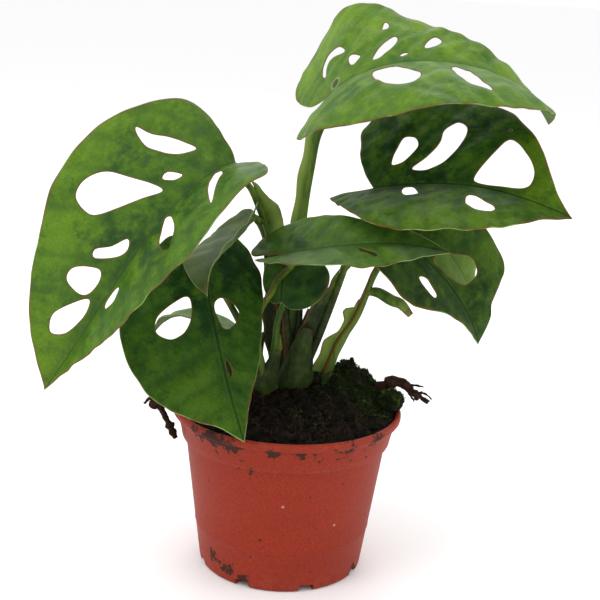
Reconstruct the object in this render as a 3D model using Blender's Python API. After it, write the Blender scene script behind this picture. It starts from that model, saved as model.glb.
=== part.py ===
# A Monstera adansonii in a small clay-red nursery pot.
# Sizes and places are in millimetres and become metres by MM when a mesh is made.
# The origin is the middle of the pot's foot, X is right, Y is away from the front, Z is up.

import math

import bmesh
import bpy
from mathutils import Vector
from mathutils.geometry import delaunay_2d_cdt

MM = 0.001
CLEARANCE = 0.3
UP = Vector((0.0, 0.0, 1.0))

# Pot
POT_RIM_RADIUS = 45.0
POT_HEIGHT = 65.0
POT_FOOT_RADIUS = 32.5
POT_WALL = 1.2
POT_FLOOR = 2.2
POT_COLLAR_HEIGHT = 12.5
POT_COLLAR_FOOT_RADIUS = 41.0
POT_NECK_RADIUS = 39.4
POT_LIP_HEIGHT = 3.0
POT_PAD_RADIUS = 11.0
POT_FOOT_WIDTH = 5.5
POT_RECESS = 0.8
POT_EDGE = 0.8
POT_SECTORS = 40
NOTCH_COUNT = 8
NOTCH_FIRST_ANGLE = 20.0
NOTCH_WIDTH = 6.0
NOTCH_HEIGHT = 2.6
NOTCH_DEPTH = 4.0

# Soil
SOIL_SECTORS = POT_SECTORS
SOIL_RINGS = 8
SOIL_RIM_HEIGHT = 62.0
SOIL_CENTRE_RISE = 8.0
SOIL_MOUND_PLACE = Vector((25.0, 12.0, 0.0))
SOIL_MOUND_RISE = 11.5
SOIL_MOUND_SPREAD = 15.0
SOIL_LUMP = 0.9
STEM_HOLE_FLOOR = 60.0

# Leaf blades
BLADE_THICKNESS = 0.7
MIDRIB_DEPTH = 0.9
MIDRIB_HALF_WIDTH = 1.5
MARGIN_STEP = 5.0
VEIN_PITCH = 13.0
VEIN_SLANT = 0.45
QUILT_HEIGHT = 0.7
QUILT_START = 6.0
WAVE_OUT = 25.0
WAVE_PITCH = 9.0
WAVE_SHIFT = 2.3
BLADE_ROW_STEP = 7.5
BLADE_CLEAR = 2.4
MIDRIB_CLEAR = 0.6
MIDRIB_FLANK = 0.86
MIDRIB_TAPER = 0.6
CURL_WIDTH = 36.0
HOLE_STEP = 3.0

# Stems and petioles
TUBE_SIDES = 8
PATH_STEP = 7.0
PETIOLE_FOOT_RADIUS = 2.0
PETIOLE_TOP_RADIUS = 1.25
PETIOLE_SEAT = 1.5
PETIOLE_NECK = 3.0
SHEATH_THICKNESS = 0.9
STEM_RADIUS = 3.1
STEM_SWELL = 1.12
STEM_TAPER = 0.6
STEM_NODE = 73.0
STEM_TOP = 79.0
STEM_SIDES = 10

COLOURS = {
    "pot": ((0.46, 0.045, 0.024, 1.0), 0.55),
    "soil": ((0.030, 0.018, 0.012, 1.0), 0.95),
    "petiole": ((0.12, 0.26, 0.035, 1.0), 0.45),
    "blade": ((0.06, 0.19, 0.02, 1.0), 0.42),
    "young_blade": ((0.17, 0.33, 0.04, 1.0), 0.42),
}

# A leaf lies on an arched midrib from base to tip. Lift and drop are the midrib's angles to
# that chord at its two ends, roll turns the face to the right, fold raises each half from the
# midrib, curl bends it back down towards its margin (left half, right half, in degrees) and
# twist turns the face further along the blade.
# Margins run from the notch at the base to the tip as (along, out). A hole is a closed curve
# through its (along, across) points, with across above 0 on the left half.
LEAVES = {
    "leaf_left_large": dict(
        base=(-23, -20, 162), tip=(-85, -50, 83), lift=52, drop=8, roll=-40,
        fold=(36, 34), curl=(4, 16), handles=(0.36, 0.37), wave=1.0, finish="blade",
        left=[(0.5, 3), (2, 11), (7, 20.5), (12, 28), (17, 25.5), (26, 26.5), (42, 29), (58, 26),
              (74, 20), (92, 10), (104, 3)],
        right=[(-1, 4), (0, 14), (4, 26), (14, 33.5), (30, 38.5), (50, 36.5), (66, 31), (75, 28),
               (90, 20), (102, 10)],
        holes=[
            [(12.5, -10.5), (19, -13), (23.5, -20), (23.5, -25.5), (22, -29), (20, -23), (16.5, -18)],
            [(30, -7), (37, -10.5), (48.5, -18), (50.5, -22.5), (48.5, -28), (43, -29), (37.5, -25.5),
             (34, -18)],
            [(22, -6), (25, -6.5), (27.5, -9.5), (25, -10)],
            [(10.5, 1.8), (14, 2.2), (20.5, 8), (25.5, 17), (18, 9.5), (12, 5)],
            [(35.5, 1.8), (38, 1.8), (45, 10.5), (43.5, 16.5), (38, 11.5), (35.5, 5.5)],
            [(50, -5.5), (53, -3.5), (57, -5), (61.5, -11), (59, -12.5), (55, -8.5)],
            [(64, -8), (67, -5.5), (73, -6), (75, -9), (73, -15), (68, -15)],
            [(65, 3.5), (67, 2), (72.5, 2), (73.5, 4.5), (69.5, 7), (66, 6)],
            [(75, -5), (78, -3.5), (83, -3.5), (89.5, -5.5), (92, -10), (86, -12.5), (78.5, -8.5)],
        ],
    ),
    "leaf_front_low": dict(
        base=(-35, -10, 123), tip=(-14, -54, 69), lift=-4, drop=-12, roll=2,
        fold=(-8, 6), curl=(18, 10), handles=(0.37, 0.39), wave=0.8, finish="blade",
        left=[(-5, 2), (-13, 9), (-11, 17), (-3, 23), (11, 24.5), (26, 21), (42, 15), (56, 7.5)],
        right=[(-5, 3), (-11, 9), (-6, 17), (4, 25), (14, 31), (24, 35.5), (38, 35), (51, 30.5),
               (59, 22.5), (64, 13), (68, 6)],
        holes=[
            [(14.5, -8), (22, -8.5), (28, -12.5), (30, -18), (27, -22.5), (21, -21), (15.5, -13)],
            [(27.5, 4), (22.5, 1.8), (17.5, 1.8), (15, 5), (17, 9.5), (21, 11.5), (25.5, 8.5)],
            [(39.5, 1.8), (42.5, 1.2), (46.5, 2), (43.5, 3)],
        ],
    ),
    "leaf_left_small": dict(
        base=(-16, -6, 142), tip=(-30, -34, 116), lift=-8, drop=52, roll=20, twist=-10,
        fold=(41, 1), curl=(15, 10), handles=(0.41, 0.38), wave=0.4, finish="young_blade",
        left=[(-2, 3), (-1, 6), (6, 8), (16, 8), (27, 5), (36, 2)],
        right=[(-2, 3), (-1, 9), (6, 15), (16, 18), (28, 16), (37, 7)],
        holes=[],
    ),
    "leaf_front_middle": dict(
        base=(-4, -18, 129), tip=(55, -37, 137), lift=9, drop=17, roll=14, twist=20,
        fold=(16, 16), curl=(13, 16), handles=(0.34, 0.38), wave=0.6, finish="blade",
        left=[(-6, 1.5), (-13, 2.5), (-15, 6.5), (-13, 13), (-5, 19.5), (8, 20), (22, 16), (34, 10.5),
              (48, 6)],
        right=[(-5, 1.5), (-9, 4.5), (-7, 9.5), (2, 16), (13, 18), (28, 19), (38, 19.5), (46, 15.5),
               (53, 8), (59, 3)],
        holes=[[(30, -3.5), (34, -6.5), (38.5, -9), (38, -11.2), (34, -8.8), (31, -5.5)]],
    ),
    "leaf_top": dict(
        base=(10, -5, 187), tip=(89, -12, 181), lift=61, drop=66, roll=40, twist=-27,
        fold=(6, 22), curl=(10, 34), handles=(0.43, 0.44), wave=1.0, finish="young_blade",
        left=[(-9, 2), (-17, 6), (-25, 15), (-25.5, 23), (-20, 34), (-13, 41), (-4, 43.5), (9, 41.5),
              (20, 37.5), (28, 30.5), (38, 25), (48, 20.5), (58, 16.5), (72, 11), (86, 4.5)],
        right=[(-4, 2), (-11, 7), (-15, 13), (-10, 18), (0, 24), (14, 30.5), (30, 35.5), (47, 36.5),
               (63, 32), (77, 21), (88, 9)],
        holes=[
            [(5.5, 17.8), (0, 18.2), (-4, 17.8), (-5, 12.5), (-7, 14.5), (-7, 20.5), (-2.5, 23.5), (3, 21.5)],
            [(9, 12.5), (12, 11.5), (14.5, 9.5), (12, 7.2), (9.8, 8.5)],
            [(26.5, 16.5), (28.5, 14), (27.5, 9.5), (24, 5), (20.5, 5), (21, 8.5), (23.5, 13.5)],
            [(21.5, 26.5), (23.3, 24.5), (23.3, 22.5), (21, 22.5)],
            [(33.8, 5.2), (31.5, 3.8), (30.8, 5), (32, 6)],
            [(39.5, 8), (39.8, 11), (42.5, 15), (45, 13), (43.5, 9.5)],
            [(23, -3.5), (31, -4.5), (35.5, -9), (40, -12.5), (40.5, -18), (38.5, -21.5), (32, -19),
             (25.5, -12)],
            [(50, -7), (53, -7.5), (57.5, -15), (61, -23.5), (56, -22.5), (51.5, -16), (50, -11)],
        ],
    ),
    "leaf_right": dict(
        base=(28, -4, 153), tip=(95, -40, 152), lift=17, drop=24, roll=33,
        fold=(22, 21), curl=(14, 17), handles=(0.39, 0.42), wave=0.8, finish="blade",
        left=[(-5, 6), (-10, 14), (-13, 22), (-15.5, 30), (-9, 37), (6, 40), (24, 40), (42, 35.5),
              (50, 29.5), (58, 22), (66, 11.5), (71.5, 5)],
        right=[(-6, 1), (-13, 2), (-16.5, 6), (-9, 13), (1, 20.5), (11, 27), (27, 33), (42, 33.5),
               (52, 30), (60, 23), (69, 10)],
        holes=[
            [(5.5, 10), (5.8, 16.5), (8, 21.5), (12.5, 21), (15, 16.5), (11, 10.5)],
            [(15.5, 7), (20.5, 12), (23.5, 18.5), (23.5, 24), (27.5, 27.5), (32, 24.5), (31.5, 17),
             (27.5, 9.5), (22, 6)],
            [(43, 1.8), (41, 4), (43.5, 12), (47, 20.5), (51, 20.5), (58.5, 13.5), (60.5, 8), (58.5, 4),
             (50, 2)],
            [(25, -10.5), (21, -10.5), (17.5, -8), (15.5, -3), (19, -3.5), (23, -7)],
            [(43, -9), (47, -9), (53.5, -12.5), (53.5, -16), (49.5, -18), (45, -15)],
        ],
    ),
    "leaf_right_low": dict(
        base=(38, -6, 135), tip=(73, 2, 93), lift=31, drop=28, roll=53,
        fold=(20, 17), curl=(12, 12), handles=(0.32, 0.38), wave=1.6, finish="blade",
        left=[(-5, 3), (-8, 10), (-3, 20), (8, 27), (22, 28.5), (34, 28), (41, 25.5), (43, 18.5),
              (47, 12), (53, 7)],
        right=[(-5, 2), (-10, 8), (-10.5, 15), (-4, 20.5), (12, 25), (21, 21.5), (30, 14), (40, 8), (50, 3.5)],
        holes=[
            [(16.5, 1.8), (16, 5), (22.5, 12), (27, 15), (32, 12.5), (32, 6), (25.5, 2.4), (19.5, 1.8)],
            [(14.5, -11), (17, -8.8), (23, -10), (23.5, -12.3), (20, -13)],
        ],
    ),
    "leaf_middle_small": dict(
        base=(-4.5, 0.5, 106), tip=(-3, 4, 129), lift=10, drop=8, roll=0,
        fold=(6, 6), curl=(20, 20), handles=(0.36, 0.36), wave=0.3, finish="blade",
        left=[(-1, 3), (2, 6), (7, 8), (13, 8), (19, 6)],
        right=[(-2, 5), (0, 12), (6, 18), (14, 19), (20, 12)],
        holes=[],
    ),
    "leaf_right_back": dict(
        base=(50, 16, 135), tip=(72, 22, 108), lift=24, drop=16, roll=60,
        fold=(8, 8), curl=(14, 14), handles=(0.36, 0.36), wave=0.4, finish="young_blade",
        left=[(-3, 3), (-3, 9), (4, 14), (16, 14), (28, 8)],
        right=[(-3, 3), (-3, 9), (4, 14), (16, 14), (28, 8)],
        holes=[],
    ),
    "leaf_left_back": dict(
        base=(-25, 6, 93), tip=(-57, 12, 84), lift=30, drop=50, roll=6,
        fold=(8, 8), curl=(14, 14), handles=(0.55, 0.5), wave=0.4, finish="young_blade",
        left=[(-2, 3), (-1, 7), (6, 10), (18, 10), (29, 6)],
        right=[(-2, 3), (-1, 7), (6, 10), (18, 10), (29, 6)],
        holes=[],
    ),
}

# A petiole is a route of points from its stem up to its blade, and its sheath is a thin wing
# on one side: (wing direction, [(share of the route, wing width), ...]).
SHOOTS = {
    "shoot_left": dict(
        place=(-9, -1),
        petioles={
            "leaf_front_low": dict(
                route=[(-10, -1, 74), (-16.5, -4.5, 92), (-24.5, -6, 107), (-31.5, -6.5, 117)],
                sheath=((0.3, 1.0, 0.0), [(0.0, 3.5), (0.35, 3.0), (0.62, 0.0)]),
            ),
            "leaf_front_middle": dict(
                route=[(-9, -2, 74), (-12.5, -2.5, 87), (-13.5, -1.5, 97), (-12, -1, 104),
                       (-8.3, -2.5, 110.5), (-6, -8, 117)],
                sheath=((-0.6, 0.8, 0.0), [(0.0, 3.0), (0.15, 2.0), (0.28, 0.0)]),
            ),
            "leaf_middle_small": dict(
                route=[(-8, 0, 74), (-6, 1, 88), (-5.5, 1.5, 98)],
                sheath=((1.0, 0.3, 0.0), [(0.0, 2.6), (0.25, 1.8), (0.45, 0.0)]),
            ),
            "leaf_left_back": dict(
                route=[(-10, 0, 74), (-14, 3, 82), (-20, 5, 87)],
                sheath=((0.0, 1.0, 0.0), [(0.0, 2.6), (0.5, 1.6), (0.8, 0.0)]),
            ),
        },
        scales=[],
    ),
    "shoot_middle": dict(
        place=(2, 5),
        petioles={
            "leaf_left_large": dict(
                route=[(0, 5, 74), (-2, 6, 95), (-6.5, 8, 118), (-10.5, 6, 131), (-14.5, -2, 143),
                       (-18.5, -11, 153)],
                sheath=((1.0, 0.2, 0.0), [(0.0, 3.6), (0.45, 4.0), (0.6, 6.4), (0.68, 5.6), (0.76, 3.4),
                                          (0.82, 0.6)]),
            ),
            "leaf_left_small": dict(
                route=[(0, 8, 74), (-4, 11, 95), (-8.5, 13, 116), (-12.5, 11, 130), (-15.5, 3, 138)],
                sheath=((-1.0, 0.2, 0.0), [(0.0, 6.0), (0.3, 6.5), (0.45, 3.0), (0.6, 0.0)]),
            ),
            "leaf_top": dict(
                route=[(2, 6, 74), (2.5, 9, 96), (2, 10, 118), (2.5, 9, 138), (4.5, 6, 158), (7, 2, 173)],
                sheath=((-1.0, 0.0, 0.0), [(0.0, 4.0), (0.5, 3.6), (0.8, 3.2), (0.9, 2.8), (0.93, 0.4)]),
            ),
            "leaf_right": dict(
                route=[(4, 5, 74), (9.5, 5.5, 88), (15, 5, 105), (20, 4, 122), (25, 2, 139)],
                sheath=((-0.8, 0.0, 0.5), [(0.0, 6.5), (0.26, 7.6), (0.33, 6.6), (0.4, 5.0), (0.48, 1.8),
                                           (0.52, 0.4)]),
            ),
        },
        scales=[],
    ),
    "shoot_right": dict(
        place=(15, 7),
        petioles={
            "leaf_right_low": dict(
                route=[(15, 6, 76), (19, 6, 89), (25, 5.5, 100), (28.5, 5, 110), (31.5, 4, 120)],
                sheath=((-0.9, 0.0, 0.4), [(0.0, 5.5), (0.2, 5.0), (0.27, 2.4), (0.35, 1.8), (0.41, 5.6),
                                           (0.44, 5.0), (0.47, 0.4)]),
            ),
            "leaf_right_back": dict(
                route=[(15, 8, 78.5), (21, 10.5, 91), (27.5, 12, 105), (32, 13, 117), (39, 15, 127)],
                sheath=((0.3, 1.0, 0.0), [(0.0, 3.0), (0.3, 2.4), (0.5, 0.0)]),
            ),
        },
        scales=[[(28.5, 5, 111), (33, 4.5, 111), (38.5, 3, 108.5), (42, 2, 107.5), (46, 1, 103.5)]],
    ),
}
SCALE_RADII = (1.5, 2.1, 2.2, 2.1, 1.2)

# Dry roots that the soil carries out over the rim: route and radius at each point.
ROOTS = [
    ([(34, 6, 69), (40, 5, 74), (45, 5, 74.5), (50, 4, 71), (56, 3, 67.5)],
     (2.6, 2.4, 1.8, 1.3, 0.8)),
    ([(44, 5, 74), (49, 7, 70.5), (52, 8, 67)], (1.2, 1.0, 0.8)),
    ([(-33, -8, 62), (-40, -10, 67.5), (-46, -10, 68.5), (-50.5, -10, 67), (-52, -10, 64)],
     (2.2, 2.4, 2.8, 2.6, 1.5)),
    ([(-50, -10, 67), (-47.5, -9.5, 61), (-45, -9, 56), (-43, -9, 51.5)], (1.4, 1.2, 1.7, 1.0)),
    ([(35, -2, 66), (40.5, -1.5, 69.4), (45, -1, 69.2)], (3.2, 3.6, 2.3)),
]
ROOT_SIDES = 6


def clear_scene():
    """Remove the objects that a new scene starts with."""
    for item in list(bpy.data.objects):
        bpy.data.objects.remove(item, do_unlink=True)


def make_material(name):
    """Return the Principled material of one finish."""
    material = bpy.data.materials.get(name)
    if material is None:
        colour, roughness = COLOURS[name]
        material = bpy.data.materials.new(name)
        material.use_nodes = True
        shader = material.node_tree.nodes["Principled BSDF"]
        shader.inputs["Base Color"].default_value = colour
        shader.inputs["Roughness"].default_value = roughness
        shader.inputs["Metallic"].default_value = 0.0
    return material


def link_object(name, mesh, finish=None):
    """Add a mesh to the scene as an object with its finish."""
    item = bpy.data.objects.new(name, mesh)
    bpy.context.scene.collection.objects.link(item)
    if finish:
        mesh.materials.append(make_material(finish))
    return item


def mesh_from(name, points, faces):
    """Make a mesh from points in millimetres."""
    mesh = bpy.data.meshes.new(name)
    mesh.from_pydata([Vector(point) * MM for point in points], [], faces)
    mesh.update()
    return mesh


def catmull_rom(points, step, closed=False):
    """Read a smooth curve through points about every step along it."""
    if closed:
        padded = [points[-1]] + list(points) + [points[0], points[1]]
    else:
        padded = [points[0] * 2 - points[1]] + list(points) + [points[-1] * 2 - points[-2]]
    curve = []
    for before, start, end, after in zip(padded, padded[1:], padded[2:], padded[3:]):
        pieces = max(1, round((end - start).length / step))
        for piece in range(pieces):
            u = piece / pieces
            curve.append(0.5 * (
                start * 2
                + (end - before) * u
                + (before * 2 - start * 5 + end * 4 - after) * u ** 2
                + (start * 3 - before - end * 3 + after) * u ** 3
            ))
    if not closed:
        curve.append(points[-1].copy())
    return curve


def ramp(stops, share):
    """Read a value between (share, value) stops."""
    if share <= stops[0][0]:
        return stops[0][1]
    for (low, first), (high, second) in zip(stops, stops[1:]):
        if share <= high:
            return first + (second - first) * (share - low) / (high - low)
    return stops[-1][1]


class LeafSurface:
    """The bent sheet that a blade lies on, addressed by (along, across) in millimetres."""

    SAMPLES = 80

    def __init__(self, leaf):
        base, tip = Vector(leaf["base"]), Vector(leaf["tip"])
        chord = tip - base
        forward = chord.normalized()
        upward = (UP - forward * UP.dot(forward)).normalized()
        leftward = upward.cross(forward)
        roll = math.radians(leaf["roll"])
        self.normal = upward * math.cos(roll) - leftward * math.sin(roll)
        self.left = leftward * math.cos(roll) + upward * math.sin(roll)
        lift, drop = math.radians(leaf["lift"]), math.radians(leaf["drop"])
        rise = forward * math.cos(lift) + self.normal * math.sin(lift)
        fall = forward * math.cos(drop) - self.normal * math.sin(drop)
        first, second = (share * chord.length for share in leaf["handles"])
        self.hull = (base, base + rise * first, tip - fall * second, tip)
        self.folds = [math.radians(angle) for angle in leaf["fold"]]
        self.bends = [math.radians(angle) / CURL_WIDTH for angle in leaf["curl"]]
        self.twist = math.radians(leaf.get("twist", 0.0))
        self.wave = leaf["wave"]
        self.measure()

    def bezier(self, u):
        """Read the midrib's curve at a share of its run."""
        a, b, c, d = self.hull
        v = 1.0 - u
        return a * v ** 3 + b * (3 * v * v * u) + c * (3 * v * u * u) + d * u ** 3

    def measure(self):
        """Keep points along the midrib with their distance from the base."""
        self.points = [self.bezier(i / self.SAMPLES) for i in range(self.SAMPLES + 1)]
        self.lengths = [0.0]
        for start, end in zip(self.points, self.points[1:]):
            self.lengths.append(self.lengths[-1] + (end - start).length)
        self.length = self.lengths[-1]

    def midrib(self, along):
        """Return the point and direction of the midrib, run straight on past its ends."""
        clamped = min(max(along, 0.0), self.length)
        i = 0
        while i < self.SAMPLES - 1 and self.lengths[i + 1] < clamped:
            i += 1
        share = (clamped - self.lengths[i]) / (self.lengths[i + 1] - self.lengths[i])
        point = self.points[i].lerp(self.points[i + 1], share)
        near = self.points[min(i + 2, self.SAMPLES)] - self.points[max(i - 1, 0)]
        direction = near.normalized()
        return point + direction * (along - clamped), direction

    def ripple(self, along, across):
        """Height of the quilting between side veins and of the waved margin."""
        phase = (along - VEIN_SLANT * abs(across)) / VEIN_PITCH
        swell = 0.5 - 0.5 * math.cos(2 * math.pi * phase)
        quilt = QUILT_HEIGHT * swell * min(1.0, abs(across) / QUILT_START)
        shift = 1.0 if across > 0 else WAVE_SHIFT
        wave = self.wave * (across / WAVE_OUT) ** 2 * math.sin(along / WAVE_PITCH + shift)
        return quilt + wave

    def place(self, along, across, height=0.0):
        """Return the point at (along, across), raised by height along the sheet's normal."""
        point, direction = self.midrib(along)
        upright = direction.cross(self.left).normalized()
        turn = self.twist * along / self.length
        left = self.left * math.cos(turn) + upright * math.sin(turn)
        normal = upright * math.cos(turn) - self.left * math.sin(turn)
        side = 0 if across >= 0 else 1
        sign = 1.0 if across >= 0 else -1.0
        fold, bend, out = self.folds[side], self.bends[side], abs(across)
        sideways = (math.sin(fold) - math.sin(fold - bend * out)) / bend
        upward = (math.cos(fold - bend * out) - math.cos(fold)) / bend
        slope = fold - bend * out if out > 0.01 else 0.0
        face = normal * math.cos(slope) - left * (sign * math.sin(slope))
        rise = height + self.ripple(along, across)
        return point + left * (sign * sideways) + normal * upward + face * rise


def is_inside(point, ring):
    """Tell whether a point lies inside a closed ring."""
    inside = False
    for a, b in zip(ring, ring[1:] + ring[:1]):
        if (a.y > point.y) != (b.y > point.y):
            if point.x < (b.x - a.x) * (point.y - a.y) / (b.y - a.y) + a.x:
                inside = not inside
    return inside


def is_clear(point, rings, distance):
    """Tell whether a point keeps its distance from every ring."""
    for ring in rings:
        for a, b in zip(ring, ring[1:] + ring[:1]):
            edge = b - a
            share = min(max((point - a).dot(edge) / edge.length_squared, 0.0), 1.0)
            if (point - a - edge * share).length < distance:
                return False
    return True


def blade_outline(leaf, length):
    """Margin of the blade as one ring, from the base notch round by the tip."""
    start, tip = Vector((0.0, 0.0)), Vector((length, 0.0))
    right = [Vector((along, -out)) for along, out in leaf["right"]]
    left = [Vector((along, out)) for along, out in leaf["left"]]
    lower = catmull_rom([start] + right + [tip], MARGIN_STEP)
    upper = catmull_rom([start] + left + [tip], MARGIN_STEP)
    return lower + upper[-2:0:-1]


def blade_rows(length, rings):
    """Points on the midrib, along the side veins and half way between them."""
    steps = round(length / BLADE_ROW_STEP)
    middle = [Vector((length * i / steps, 0.0)) for i in range(1, steps)]
    flank = [p for p in middle if p.x < MIDRIB_FLANK * length]
    points = list(middle)
    for sign in (-1.0, 1.0):
        points += [Vector((p.x, sign * MIDRIB_HALF_WIDTH)) for p in flank]
        for row in range(-5, int(2 * length / VEIN_PITCH) + 2):
            for column in range(1, 7):
                out = BLADE_ROW_STEP * (column - 0.15)
                along = row * VEIN_PITCH / 2 + VEIN_SLANT * out
                points.append(Vector((along, sign * out)))
    outline, holes = rings[0], rings[1:]
    kept = []
    for point in points:
        on_midrib = abs(point.y) <= MIDRIB_HALF_WIDTH
        gap = MIDRIB_CLEAR if on_midrib else BLADE_CLEAR
        cut_away = any(is_inside(point, hole) for hole in holes)
        if is_inside(point, outline) and not cut_away and is_clear(point, rings, gap):
            kept.append(point)
    return kept


def make_blade(name, leaf):
    """Cut a blade's outline and holes, then bend both its faces onto the leaf's surface."""
    surface = LeafSurface(leaf)
    rings = [blade_outline(leaf, surface.length)]
    for hole in leaf["holes"]:
        rings.append(catmull_rom([Vector(point) for point in hole], HOLE_STEP, closed=True))
    flat, edges = [], []
    for ring in rings:
        first = len(flat)
        flat += ring
        edges += [(first + i, first + (i + 1) % len(ring)) for i in range(len(ring))]
    flat += blade_rows(surface.length, rings)
    points, _, triangles, _, _, _ = delaunay_2d_cdt(flat, edges, [], 0, 1e-5)
    kept = []
    for triangle in triangles:
        centre = sum((points[i] for i in triangle), Vector((0.0, 0.0))) / 3
        if is_inside(centre, rings[0]) and not any(is_inside(centre, ring) for ring in rings[1:]):
            kept.append(triangle)
    used = sorted({i for triangle in kept for i in triangle})
    number = {old: new for new, old in enumerate(used)}
    kept = [[number[i] for i in triangle] for triangle in kept]
    count = len(used)
    half = BLADE_THICKNESS / 2
    upper, lower = [], []
    for i in used:
        along, across = points[i]
        keel = 0.0
        if abs(across) < 0.01:
            keel = MIDRIB_DEPTH * max(0.0, 1.0 - along / surface.length) ** MIDRIB_TAPER
        upper.append(surface.place(along, across, half))
        lower.append(surface.place(along, across, -half - keel))
    faces = [tuple(triangle) for triangle in kept]
    faces += [tuple(i + count for i in reversed(triangle)) for triangle in kept]
    sides = {}
    for triangle in kept:
        for a, b in zip(triangle, triangle[1:] + triangle[:1]):
            sides[(a, b)] = sides.get((a, b), 0) + 1
    for a, b in sides:
        if (b, a) not in sides:
            faces.append((b, a, a + count))
            faces.append((b, a + count, b + count))
    return link_object(name, mesh_from(name, upper + lower, faces), leaf["finish"])


def tube_mesh(name, route, radii, sides):
    """Make a closed round tube along a route, with a radius at each point."""
    points, faces = [], []
    across = Vector((1.0, 0.0, 0.0))
    for i, point in enumerate(route):
        direction = (route[min(i + 1, len(route) - 1)] - route[max(i - 1, 0)]).normalized()
        across = (across - direction * across.dot(direction)).normalized()
        other = direction.cross(across)
        for k in range(sides):
            angle = 2 * math.pi * k / sides
            points.append(point + (across * math.cos(angle) + other * math.sin(angle)) * radii[i])
    for i in range(len(route) - 1):
        for k in range(sides):
            a, b = i * sides + k, i * sides + (k + 1) % sides
            faces.append((a, b, b + sides, a + sides))
    last = (len(route) - 1) * sides
    faces.append(tuple(reversed(range(sides))))
    faces.append(tuple(last + k for k in range(sides)))
    return mesh_from(name, points, faces)


def wing_mesh(name, route, direction, stops):
    """Make the thin wing of a sheath, from the middle of the petiole outwards."""
    last = max(i for i in range(len(route)) if i / (len(route) - 1) <= stops[-1][0])
    points, faces = [], []
    for i in range(last + 1):
        tangent = (route[i + 1] - route[max(i - 1, 0)]).normalized()
        side = Vector(direction)
        side = (side - tangent * side.dot(tangent)).normalized()
        face = tangent.cross(side) * (SHEATH_THICKNESS / 2)
        out = side * (ramp(stops, i / (len(route) - 1)) + PETIOLE_TOP_RADIUS)
        points += [route[i] - face, route[i] + out - face, route[i] + out + face, route[i] + face]
    for i in range(last):
        for k in range(4):
            a, b = 4 * i + k, 4 * i + (k + 1) % 4
            faces.append((a, b, b + 4, a + 4))
    faces.append((3, 2, 1, 0))
    faces.append(tuple(4 * last + k for k in range(4)))
    return mesh_from(name, points, faces)


def boolean(item, operation, others, solver="MANIFOLD"):
    """Join or cut an object with others in one step, then remove the others."""
    group = bpy.data.collections.new("operands")
    for other in others:
        group.objects.link(other)
    modifier = item.modifiers.new("boolean", "BOOLEAN")
    modifier.operation = operation
    modifier.operand_type = "COLLECTION"
    modifier.collection = group
    modifier.solver = solver
    graph = bpy.context.evaluated_depsgraph_get()
    result = bpy.data.meshes.new_from_object(item.evaluated_get(graph))
    item.modifiers.remove(modifier)
    item.data = result
    for other in others:
        bpy.data.objects.remove(other, do_unlink=True)
    bpy.data.collections.remove(group)


def petiole_route(petiole, leaf):
    """Lead a petiole from its stem to a seat square under the midrib."""
    surface = LeafSurface(leaf)
    drop = BLADE_THICKNESS / 2 + MIDRIB_DEPTH + CLEARANCE
    seat = surface.place(PETIOLE_SEAT, 0.0, -drop)
    neck = surface.place(PETIOLE_SEAT, 0.0, -drop - PETIOLE_NECK)
    points = [Vector(point) for point in petiole["route"]] + [neck, seat]
    return catmull_rom(points, PATH_STEP)


def make_shoot(name, shoot):
    """Fuse a short stem with the petioles and sheaths that it carries."""
    x, y = shoot["place"]
    heights = (STEM_HOLE_FLOOR + CLEARANCE, STEM_NODE - STEM_RADIUS, STEM_NODE, STEM_TOP)
    radii = (STEM_RADIUS, STEM_RADIUS, STEM_RADIUS * STEM_SWELL, STEM_RADIUS * STEM_TAPER)
    stem = tube_mesh(name, [Vector((x, y, z)) for z in heights], radii, STEM_SIDES)
    parts = []
    for leaf_name, petiole in shoot["petioles"].items():
        route = petiole_route(petiole, LEAVES[leaf_name])
        last = len(route) - 1
        stops = [(0.0, PETIOLE_FOOT_RADIUS), (0.6, PETIOLE_TOP_RADIUS), (1.0, PETIOLE_TOP_RADIUS)]
        sizes = [ramp(stops, i / last) for i in range(last + 1)]
        parts.append(link_object("petiole", tube_mesh("petiole", route, sizes, TUBE_SIDES)))
        direction, widths = petiole["sheath"]
        parts.append(link_object("wing", wing_mesh("wing", route, direction, widths)))
    for scale in shoot["scales"]:
        points = [Vector(point) for point in scale]
        parts.append(link_object("scale", tube_mesh("scale", points, SCALE_RADII, TUBE_SIDES)))
    item = link_object(name, stem)
    boolean(item, "UNION", parts)
    item.data.materials.clear()
    item.data.materials.append(make_material("petiole"))
    return item


def pot_profile():
    """Section of the pot's wall and floor, from the outside of the foot to the middle."""
    rim, top = POT_RIM_RADIUS, POT_HEIGHT
    step = top - POT_COLLAR_HEIGHT
    foot_inside = POT_FOOT_RADIUS - POT_FOOT_WIDTH
    outside = [
        (0.0, 0.0), (POT_PAD_RADIUS, 0.0), (POT_PAD_RADIUS + POT_RECESS, POT_RECESS),
        (foot_inside - POT_RECESS, POT_RECESS), (foot_inside, 0.0), (POT_FOOT_RADIUS - POT_EDGE, 0.0),
        (POT_FOOT_RADIUS, POT_EDGE), (POT_NECK_RADIUS, step - POT_EDGE), (POT_COLLAR_FOOT_RADIUS, step),
        (rim - 2 * POT_EDGE, top - POT_LIP_HEIGHT - POT_EDGE), (rim - POT_EDGE / 2, top - POT_LIP_HEIGHT),
        (rim, top - POT_LIP_HEIGHT + POT_EDGE), (rim, top - POT_EDGE), (rim - POT_EDGE, top),
    ]
    inside = [
        (rim - POT_WALL - POT_EDGE, top), (rim - POT_WALL - 1.5 * POT_EDGE, top - POT_EDGE),
        (POT_COLLAR_FOOT_RADIUS - POT_WALL, step + POT_EDGE),
        (POT_NECK_RADIUS - POT_WALL, step - 2 * POT_EDGE),
        (POT_FOOT_RADIUS - POT_WALL, POT_FLOOR), (0.0, POT_FLOOR),
    ]
    return outside, inside


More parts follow.
